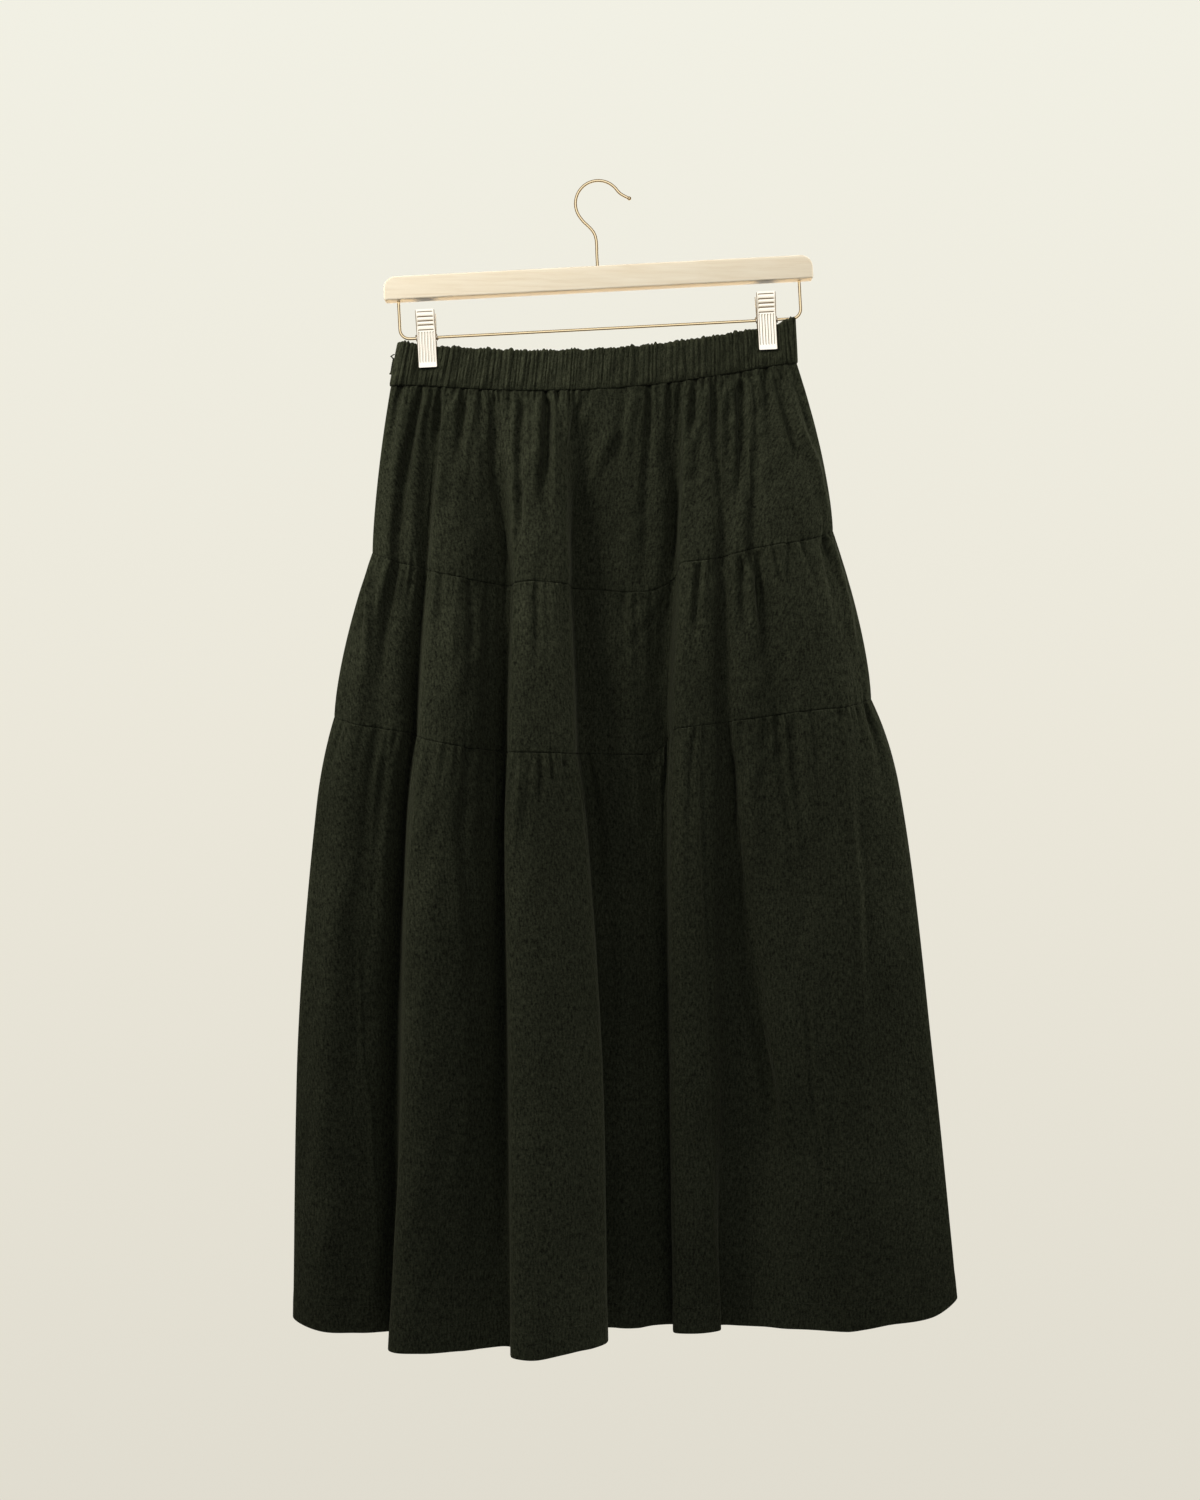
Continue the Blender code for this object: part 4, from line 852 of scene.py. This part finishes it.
def band_piece(side, finish, thread):
    """Half of the elastic waistband, gathered over its whole height, folded at its top."""
    drops = np.array(BAND_ROWS)
    even = np.linspace(0.0, 1.0, BAND_COLUMNS + 1)
    part = lerp(even, (1.0 - np.cos(math.pi * even)) / 2.0, BAND_CROWDING)
    part = part if side == "front" else 1.0 - part
    share = (drops / BAND_HEIGHT)[:, None]
    left, right = (lerp(top, seam, share) for top, seam in zip(BAND_TOP_ENDS, BAND_SEAM_ENDS))
    x = lerp(left, right, part[None, :])
    y = np.maximum(band_half_gap(x, np.minimum(x - left, right - x)), FIT_GAP / 2.0)
    y = -y if side == "front" else y
    y -= CORNER_SHIFT * between(x, CORNER_SHIFT_X) * (1.0 - share)
    z = lerp(band_top_height(x), band_seam_height(x), share)
    z += CORNER_RISE * between(x, CORNER_RISE_X) * (1.0 - share)
    grid = np.stack([x, y, z], axis=-1)
    out = plan_normals(grid)
    along = along_rows(grid)
    deep = np.repeat(drops[:, None], BAND_COLUMNS + 1, axis=1)
    raised = np.zeros_like(deep)
    for number, (pitch, height) in enumerate(BAND_GATHERS):
        seed = BAND_SEED + 7 * number + (BACK_SEED if side == "back" else 0)
        raised += gather_field(along[0], deep, pitch, height, BAND_HEIGHT, seed, dying=False)
    ends = np.minimum(along, along[:, -1:] - along)
    raised *= smoothstep(0.2 + ends / BAND_EDGE_CALM)
    raised *= 0.8 + 0.2 * np.sin(along / 3.7 + deep / 5.0)
    raised *= lerp(1.0, RIB_LEAST, clipped(x, deep))
    crest = raised[:1] / BAND_GATHERS[0][1]
    grid[..., 2] += BAND_SCALLOPS * (crest - RIB_MIDDLE) * np.exp(-deep / SCALLOP_REACH)
    raised *= lerp(0.5, 1.0, smoothstep((BAND_HEIGHT - deep) / 5.0))
    raised -= turned_in(BAND_HEIGHT - deep)
    half = BAND_WALL / 2.0 * quarter_round(deep / BAND_TOP_ROUND, 0.02)
    raised *= np.minimum(1.0, deep / 1.5)
    outer = grid + out * (raised + half)[..., None]
    inner = grid + out * (0.5 * raised - half)[..., None]
    uv = np.stack([along * BAND_FULLNESS, -deep], axis=-1)
    row = int(np.argmin(np.abs(drops - BAND_STITCH_DROP)))
    stitch_row(f"band_stitches_{side}", outer[row, 6:-6], out[row, 6:-6], BAND_STITCH, thread)
    return grid_mesh(f"waistband_{side}_cloth", outer, inner, uv, finish)


def loop_centre(part):
    """Middle of the thread loop at a share of the way from its start to its knot."""
    share = lerp(*LOOP_SHARES, part)
    edge = lerp(BAND_TOP_ENDS[0], BAND_SEAM_ENDS[0], share) - BAND_WALL / 2.0
    height, place, spread = LOOP_LOBE
    stand = LOOP_STAND + LOOP_BULGE * math.sin(math.pi * part)
    stand += height * bell((part - place) / spread)
    return np.array([edge - stand, 0.0, lerp(band_top_height(edge), band_seam_height(edge), share)])


def loop_piece(finish):
    """Thread loop on the band's left side seam, two strands twisted round each other."""
    turns = 2.0 * math.pi * np.arange(LOOP_SIDES) / LOOP_SIDES
    ring = np.stack([np.cos(turns), np.sin(turns), np.zeros(LOOP_SIDES)], axis=1)
    corners, faces = [], []
    for strand in (0.0, math.pi):
        first = len(corners)
        for part in np.linspace(0.0, 1.0, LOOP_STEPS + 1):
            twist = LOOP_TWIST * part + strand
            aside = LOOP_APART * np.array([math.cos(twist), math.sin(twist), 0.0])
            swells = [size * bell((part - middle) / width) for size, middle, width in LOOP_SWELLS]
            corners += list(loop_centre(part) + aside + ring * (LOOP_STRAND + sum(swells)))
        last = len(corners) - LOOP_SIDES
        for start in range(first, last, LOOP_SIDES):
            for turn in range(LOOP_SIDES):
                a, b = start + turn, start + (turn + 1) % LOOP_SIDES
                faces.append((a, a + LOOP_SIDES, b + LOOP_SIDES, b))
        faces.append(tuple(range(first, first + LOOP_SIDES)))
        faces.append(tuple(range(last + LOOP_SIDES - 1, last - 1, -1)))
    return point_mesh("side_loop_thread", corners, faces, finish)


# ---- Materials ----
# The band's cloth is the tiers' cotton made lighter: partly for the cloth stretched over the elastic,
# partly painted light for the light that falls on the band at the top.
BAND_STRETCHED_AND_LIT_DYE = ((0.0175, 0.0191, 0.0112), (0.0250, 0.0272, 0.0160))       # dark and light
CLOTH_DYE = ((0.0137, 0.0152, 0.0090), (0.0198, 0.0217, 0.0129))
THREAD_DYE = ((0.020, 0.021, 0.013), (0.030, 0.031, 0.020))
CLOTH_WEAVE = 520.0
THREAD_WEAVE = 900.0
SHEEN = (0.80, 0.85, 0.62, 1.0)
WOOD = ((0.25, (0.60, 0.51, 0.37)), (0.5, (0.66, 0.585, 0.45)), (0.75, (0.70, 0.635, 0.505)))
NICKEL = (0.86, 0.84, 0.79)
BRASSY = (0.80, 0.69, 0.48)


def new_material(name):
    """Material, its nodes, its shader and its texture coordinates."""
    made = bpy.data.materials.new(name)
    made.use_nodes = True
    tree = made.node_tree
    coords = tree.nodes.new("ShaderNodeTexCoord").outputs
    return made, tree, tree.nodes["Principled BSDF"], coords


def settle(tree, socket, value):
    """Give an input a value, or link it to another node's output."""
    if isinstance(value, bpy.types.NodeSocket):
        tree.links.new(value, socket)
    else:
        socket.default_value = value


def fill(tree, made, *inputs, **values):
    """Set a node's properties and inputs, by name or in order, and return its outputs."""
    for key, value in values.items():
        if hasattr(made, key):
            setattr(made, key, value)
        else:
            settle(tree, made.inputs[key.replace("_", " ")], value)
    for socket, value in zip(made.inputs, inputs):
        settle(tree, socket, value)
    return made.outputs


def node(tree, kind, *inputs, **values):
    """Outputs of a new node."""
    return fill(tree, tree.nodes.new("ShaderNode" + kind), *inputs, **values)


def noise(tree, vector, scale, detail, roughness=0.5, distortion=0.0):
    return node(tree, "TexNoise", Vector=vector, Scale=scale, Detail=detail,
                Roughness=roughness, Distortion=distortion)["Fac"]


def bump(tree, height, strength, distance, **normal):
    return node(tree, "Bump", Height=height, Strength=strength, Distance=distance, **normal)[0]


def ramp(tree, source, stops):
    """Colour by a value, from stops of (value, colour)."""
    made = tree.nodes.new("ShaderNodeValToRGB")
    elements = made.color_ramp.elements
    while len(elements) < len(stops):
        elements.new(0.5)
    for element, (place, colour) in zip(elements, stops):
        element.position = place
        element.color = (*colour, 1.0)
    return fill(tree, made, source)["Color"]


def mixed(tree, share, *colours):
    """Colour between two others."""
    made = tree.nodes.new("ShaderNodeMix")
    made.data_type = "RGBA"
    fill(tree, made, share)
    ends = [socket for socket in made.inputs if socket.type == "RGBA"]
    for socket, colour in zip(ends, colours):
        settle(tree, socket, colour)
    return [socket for socket in made.outputs if socket.type == "RGBA"][0]


def cotton(name, dye, weave):
    """Matte plain-woven cotton: threads, lint, a washed crinkle and slightly uneven dye."""
    made, tree, shader, coords = new_material(name)
    place, flat = coords["Object"], coords["UV"]
    blotch = noise(tree, place, 9.0, 5.0, 0.6)
    lint = noise(tree, place, 640.0, 2.0, 0.8)
    along_thread = node(tree, "Mapping", Vector=flat, Scale=(1.0, 0.3, 1.0))["Vector"]
    slub = noise(tree, along_thread, 620.0, 2.0, 0.6)
    both = node(tree, "Math", lint, slub, operation="ADD")[0]
    speck = node(tree, "MapRange", both, From_Min=0.72, From_Max=1.28, To_Min=0.25, To_Max=1.8)[0]
    base = ramp(tree, blotch, tuple(zip((0.3, 0.7), dye)))
    warp, weft = (
        node(tree, "TexWave", bands_direction=way, Vector=flat, Scale=weave, Distortion=0.6)["Fac"]
        for way in "XY"
    )
    threads = bump(tree, node(tree, "Math", warp, weft, operation="MULTIPLY")[0], 0.35, 0.00012)
    crinkle = bump(tree, noise(tree, place, 230.0, 4.0, 0.65), 0.9, 0.0014, Normal=threads)
    fill(
        tree, shader, Normal=crinkle, Roughness=0.92, Specular_IOR_Level=0.08,
        Base_Color=node(tree, "VectorMath", base, operation="SCALE", Scale=speck)["Vector"],
        Sheen_Weight=0.05, Sheen_Roughness=0.35, Sheen_Tint=SHEEN,
    )
    return made


def maple():
    """Pale satin wood with long fine grain."""
    made, tree, shader, coords = new_material("pale_maple")
    stretch = node(tree, "Mapping", Vector=coords["Object"], Scale=(7.0, 60.0, 110.0))["Vector"]
    grain = noise(tree, stretch, 3.0, 8.0, 0.62, 0.4)
    fill(tree, shader, Base_Color=ramp(tree, grain, WOOD), Roughness=0.48,
         Normal=bump(tree, grain, 0.12, 0.0004))
    return made


def plated(name, colour, roughness, scale):
    """Warm bright plating with faint polishing marks."""
    made, tree, shader, coords = new_material(name)
    marks = noise(tree, coords["Object"], scale, 3.0)
    spread = node(tree, "MapRange", marks, To_Min=roughness - 0.05, To_Max=roughness + 0.08)[0]
    fill(tree, shader, Base_Color=(*colour, 1.0), Metallic=1.0, Roughness=spread,
         Normal=bump(tree, marks, 0.05, 0.0002))
    return made


# ---- Hanger ----
TILT = Matrix.Rotation(-math.radians(TILT_DEGREES), 4, "Y")


def arc(centre, radius, start, end, steps):
    """Points of an arc in the XZ plane, angles in degrees from +X towards +Z."""
    points = []
    for step in range(steps + 1):
        angle = math.radians(lerp(start, end, step / steps))
        points.append((centre[0] + radius * math.cos(angle), 0.0,
                       centre[1] + radius * math.sin(angle)))
    return points


def new_curve(name, diameter, rings):
    """Curve that turns into a round wire with closed ends."""
    curve = bpy.data.curves.new(name, "CURVE")
    curve.dimensions = "3D"
    curve.bevel_depth = diameter / 2.0 * MM
    curve.bevel_resolution = rings
    curve.use_fill_caps = True
    return curve


def add_line(curve, points):
    """Straight stretches through points (mm)."""
    spline = curve.splines.new("POLY")
    spline.points.add(len(points) - 1)
    for knot, point in zip(spline.points, points):
        knot.co = (*(Vector(point) * MM), 1.0)
    return spline


def curve_mesh(name, curve, finish, place=Matrix.Identity(4)):
    """Mesh of a curve, welded, smooth and tilted with the hanger."""
    soft = put(name + "_curve", curve)
    evaluated = soft.evaluated_get(bpy.context.evaluated_depsgraph_get())
    mesh = bpy.data.meshes.new_from_object(evaluated)
    bpy.data.objects.remove(soft, do_unlink=True)
    cage = bmesh.new()
    cage.from_mesh(mesh)
    bmesh.ops.remove_doubles(cage, verts=cage.verts, dist=0.000002)
    bmesh.ops.recalc_face_normals(cage, faces=cage.faces)
    cage.to_mesh(mesh)
    cage.free()
    mesh.transform(TILT @ place)
    mesh.materials.clear()
    mesh.shade_smooth()
    mesh.set_sharp_from_angle(angle=math.radians(50.0))
    return add_object(name, mesh, finish)


def wire_piece(name, points, finish):
    """Round wire along a smooth curve through points (mm)."""
    curve = new_curve(name, WIRE_DIAMETER, 6)
    curve.resolution_u = 6
    spline = curve.splines.new("BEZIER")
    spline.bezier_points.add(len(points) - 1)
    for knot, point in zip(spline.bezier_points, points):
        knot.co = Vector(point) * MM
        knot.handle_left_type = "AUTO"
        knot.handle_right_type = "AUTO"
    return curve_mesh(name, curve, finish)


def bar_piece(finish):
    """Wooden bar with rounded edges."""
    half, top, low = BAR_LENGTH / 2.0, BAR_TOP, BAR_TOP - BAR_HEIGHT
    big, small, inset = BAR_TOP_CORNER, BAR_LOW_CORNER, BAR_EDGE_ROUND
    corners = (
        (half - big, top - big, big, 0.0, 14), (-half + big, top - big, big, 90.0, 14),
        (-half + small, low + small, small, 180.0, 5), (half - small, low + small, small, 270.0, 5),
    )
    curve = new_curve("bar_outline", 2.0 * inset, 4)
    curve.dimensions = "2D"
    curve.fill_mode = "BOTH"
    curve.extrude = (BAR_THICKNESS / 2.0 - inset) * MM
    points = []
    for x, y, radius, start, steps in corners:
        turn = arc((x, y), max(radius - inset, 0.5), start, start + 90.0, steps)
        points += [(BAR_CENTRE + p[0], p[2], 0.0) for p in turn]
    add_line(curve, points).use_cyclic_u = True
    return curve_mesh("hanger_bar_wood", curve, finish, Matrix.Rotation(math.pi / 2.0, 4, "X"))


def hook_pieces(finish):
    points = [(BAR_CENTRE, 0.0, BAR_TOP - HOOK_SINK), (BAR_CENTRE, 0.0, BAR_TOP)]
    points += [(x, 0.0, z) for x, z in HOOK_STEM]
    points += arc((HOOK_CENTRE, WIRE_DIAMETER / 2.0 - HOOK_RADIUS), HOOK_RADIUS, *HOOK_ARC, 22)
    points += [(x, 0.0, z) for x, z in HOOK_FLICK]
    wire = wire_piece("hanger_hook_wire", points, finish)
    end = Vector(points[-1])
    way = (end - Vector(points[-2])).normalized()
    radius = HOOK_BALL / 2.0 * MM
    ball = made_by(bmesh.ops.create_uvsphere, "hook_tip_ball",
                   u_segments=24, v_segments=16, radius=radius)
    ball.transform(TILT @ Matrix.Translation((end + way * HOOK_BALL_OUT) * MM))
    ball.shade_smooth()
    return wire, add_object("hook_tip_ball", ball, finish)


def rail_piece(finish):
    left, right = BAR_CENTRE - RAIL_HALF_WIDTH, BAR_CENTRE + RAIL_HALF_WIDTH
    top, bend = BAR_TOP - BAR_HEIGHT + RAIL_SINK, RAIL_BEND
    points = [(left, 0.0, z) for z in (top, *RAIL_SIDE_KNOTS)]
    points += arc((left + bend, RAIL_HEIGHT + bend), bend, 180.0, 270.0, 8)
    points += [(x, 0.0, RAIL_HEIGHT) for x in RAIL_KNOTS]
    points += arc((right - bend, RAIL_HEIGHT + bend), bend, 270.0, 360.0, 8)
    points += [(right, 0.0, z) for z in (*reversed(RAIL_SIDE_KNOTS), top)]
    return wire_piece("clip_rail_wire", points, finish)


def plate_piece(name, centre, sign, finish):
    """Pressed clip plate: ribs across its grip, channels down it, and turned-in sides."""
    length = CLIP_PROFILE[-1][0]
    across = np.linspace(-CLIP_WIDTH / 2.0, CLIP_WIDTH / 2.0, 49)
    down = np.linspace(0.0, length, 110)
    x, drop = np.meshgrid(across, down)
    profile = np.pad(np.interp(down, *zip(*CLIP_PROFILE)), 4, mode="edge")
    smooth = np.convolve(profile, np.ones(9) / 9.0, "valid")
    out = np.repeat(smooth[:, None], len(across), axis=1)
    grip = smoothstep((GROOVE_REACH - np.abs(x)) / 1.2)
    for line in CLIP_GROOVES:
        out -= GROOVE_DEPTH * grip * bell((drop - line) / GROOVE_HALF_WIDTH)
    start, end = CLIP_FLUTE_ENDS
    for middle in CLIP_FLUTES:
        beyond = np.maximum(0.0, np.maximum(start - drop, drop - end))
        away = np.hypot(x - middle, beyond)
        out -= FLUTE_DEPTH * smoothstep((FLUTE_HALF_WIDTH - away) / FLUTE_SIDE)
    edge = CLIP_WIDTH / 2.0 - np.abs(x)
    out -= PLATE_ROUND * (1.0 - quarter_round(edge / PLATE_ROUND))
    corner = np.maximum(0.0, PLATE_CORNER - edge) ** 2 / (2.0 * PLATE_CORNER)
    z = CLIP_TOP - lerp(corner, length - corner, drop / length)
    sheet = np.stack([centre + x, sign * out, z], axis=-1)
    back = sheet - np.array([0.0, sign * CLIP_PLATE * 0.8, 0.0])
    order = slice(None) if sign < 0.0 else slice(None, None, -1)
    uv = np.stack([x, -drop], axis=-1)
    made = grid_mesh(name, sheet[:, order], back[:, order], uv, finish)
    made.data.transform(TILT)
    made.data.set_sharp_from_angle(angle=math.radians(70.0))
    return made


def spring_piece(name, centre, finish):
    """Coil spring on the rail, between a clip's plates."""
    radius = (SPRING_DIAMETER - SPRING_WIRE) / 2.0
    points = []
    steps = SPRING_TURNS * 10
    for step in range(steps + 1):
        angle = 2.0 * math.pi * SPRING_TURNS * step / steps
        x = centre + lerp(-SPRING_LENGTH / 2.0, SPRING_LENGTH / 2.0, step / steps)
        points.append((x, radius * math.cos(angle), RAIL_HEIGHT + radius * math.sin(angle)))
    curve = new_curve(name, SPRING_WIRE, 2)
    add_line(curve, points)
    return curve_mesh(name, curve, finish)


# ---- Stage ----
AMBIENT = 0.11
AMBIENT_COLOUR = (0.71, 0.80, 0.99, 1.0)
# The surroundings seen by the camera are painted darker low down: painted shade, for the light falling
# off down the wall.
WALL_REACH = 0.35
WALL_COLOURS = ((0.0, (0.745, 0.715, 0.625)), (0.5, (0.83, 0.80, 0.70)), (1.0, (0.885, 0.875, 0.78)))
WINDOW_WAY = (-0.14, -0.97, 0.20)
ROOM_COLOURS = (
    (0.0, (0.25, 0.165, 0.085)), (0.62, (0.145, 0.095, 0.05)), (0.80, (0.85, 0.78, 0.64)),
    (0.90, (1.40, 1.34, 1.24)),
)
FLOOR_RADIUS = 1.1
FLOOR_HEIGHT = -1.80
FLOOR_COLOUR = (0.94, 0.92, 0.84, 1.0)
DAYLIGHT = (1.0, 0.98, 0.94)
LIGHTS = (
    # name, place, aim, size, power, colour, spread (degrees)
    ("key", (-1.10, -0.70, 0.58), (0.02, 0.0, -0.04), (0.42, 0.42), 5.9, (1.0, 0.97, 0.92), 84),
    ("front", (0.34, -1.25, 0.55), (0.08, 0.0, -0.12), (0.50, 0.50), 2.40, DAYLIGHT, 90),
    ("right_rim", (1.20, 0.02, 0.20), (0.2, 0.0, -0.30), (0.40, 0.90), 19.0, DAYLIGHT, 180),
    ("left_rim", (-1.20, -0.12, 0.20), (-0.2, 0.0, -0.20), (0.40, 0.90), 10.0, DAYLIGHT, 180),
    ("rear", (0.5, 1.3, 0.6), (0.0, 0.0, -0.40), (0.9, 0.9), 26.0, DAYLIGHT, 180),
    ("bounce", (0.0, 0.28, -0.62), (0.0, 0.0, -0.13), (0.70, 0.06), 0.48, (1.0, 0.74, 0.42), 40),
    ("low", (0.10, -1.20, -1.10), (0.12, 0.0, -0.98), (0.50, 0.30), 0.30, (0.90, 0.98, 1.0), 80),
)


def make_camera():
    data = bpy.data.cameras.new("camera")
    data.lens = CAMERA_LENS
    data.sensor_width = CAMERA_SENSOR
    data.sensor_fit = "AUTO"
    camera = put("camera", data)
    camera.location = Vector(CAMERA_PLACE) * MM
    camera.rotation_euler = (math.pi / 2.0, 0.0, 0.0)
    bpy.context.scene.camera = camera


def make_light(name, place, aim, size, energy, colour, spread):
    data = bpy.data.lights.new(name, "AREA")
    data.shape = "RECTANGLE"
    data.size, data.size_y = size
    data.energy = energy
    data.color = colour
    data.spread = math.radians(spread)
    light = put(name, data)
    light.visible_glossy = False
    light.visible_camera = False
    light.location = place
    light.rotation_euler = (Vector(aim) - Vector(place)).to_track_quat("-Z", "Y").to_euler()


def make_world():
    """Cream surroundings, a little darker low down.

    Cloth gets less light from them than the camera sees, and metal mirrors a dim room with
    bright windows in front of it and behind it."""
    world = bpy.data.worlds.new("surroundings")
    bpy.context.scene.world = world
    world.use_nodes = True
    tree = world.node_tree
    way = node(tree, "TexCoord")["Generated"]
    up = node(tree, "SeparateXYZ", way)["Z"]
    height = node(tree, "MapRange", up, From_Min=-WALL_REACH, From_Max=WALL_REACH)[0]
    window = node(tree, "VectorMath", way, WINDOW_WAY, operation="DOT_PRODUCT")["Value"]
    either = node(tree, "Math", window, operation="ABSOLUTE")[0]
    rays = node(tree, "LightPath")
    seen = mixed(tree, rays["Is Glossy Ray"], ramp(tree, height, WALL_COLOURS),
                 ramp(tree, either, ROOM_COLOURS))
    lit = rays["Is Diffuse Ray"]
    fill(tree, tree.nodes["Background"], mixed(tree, lit, seen, AMBIENT_COLOUR),
         node(tree, "MapRange", lit, To_Min=1.0, To_Max=AMBIENT)[0])


def make_stage():
    data = made_by(bmesh.ops.create_circle, "floor", cap_ends=True, segments=96, radius=FLOOR_RADIUS)
    finish, tree, shader, _ = new_material("pale_floor")
    fill(tree, shader, Base_Color=FLOOR_COLOUR, Roughness=0.8)
    floor = add_object("floor", data, finish)
    floor.location = (0.0, 0.0, FLOOR_HEIGHT)
    floor.visible_glossy = False
    for light in LIGHTS:
        make_light(*light)


def dress(piece, slot, *nodes):
    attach(piece, "root")
    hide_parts(*nodes)


def make_skirt():
    lines = fold_points()
    cloth = cotton("olive_black_cotton", CLOTH_DYE, CLOTH_WEAVE)
    # The band gets the same cotton painted lighter, partly for its stretch over the elastic and partly
    # as painted light from above.
    elastic = cotton("olive_black_elastic_painted_lit", BAND_STRETCHED_AND_LIT_DYE, CLOTH_WEAVE)
    thread = cotton("dark_thread", THREAD_DYE, THREAD_WEAVE)
    dress(loop_piece(thread), "thread", "side_loop")
    for side in ("front", "back"):
        band = band_piece(side, elastic, thread)
        dress(band, "cloth", f"waistband_{side}")
        for tier in ("tier1", "tier2", "tier3"):
            piece = tier_piece(lines, tier, side, cloth, thread)
            dress(piece, "cloth", f"{tier}_{side}")


def make_hanger():
    steel = plated("warm_nickel", NICKEL, 0.16, 420.0)
    wire = plated("brassy_wire", BRASSY, 0.15, 1500.0)
    dress(bar_piece(maple()), "wood", "hanger_bar")
    hook, ball = hook_pieces(wire)
    dress(hook, "steel", "hanger_hook")
    dress(ball, "steel", "hook_tip")
    dress(rail_piece(wire), "steel", "clip_rail")
    for side, centre in CLIP_CENTRES.items():
        for face, sign in (("front", -1.0), ("back", 1.0)):
            plate = plate_piece(f"clip_{side}_{face}_plate", centre, sign, steel)
            dress(plate, "steel", f"clip_{side}_{face}")
        spring = spring_piece(f"clip_{side}_coil", centre, steel)
        dress(spring, "steel", f"clip_{side}_spring")


bpy.context.scene.view_settings.view_transform = "Standard"
make_camera()
make_world()
make_stage()
make_skirt()
make_hanger()
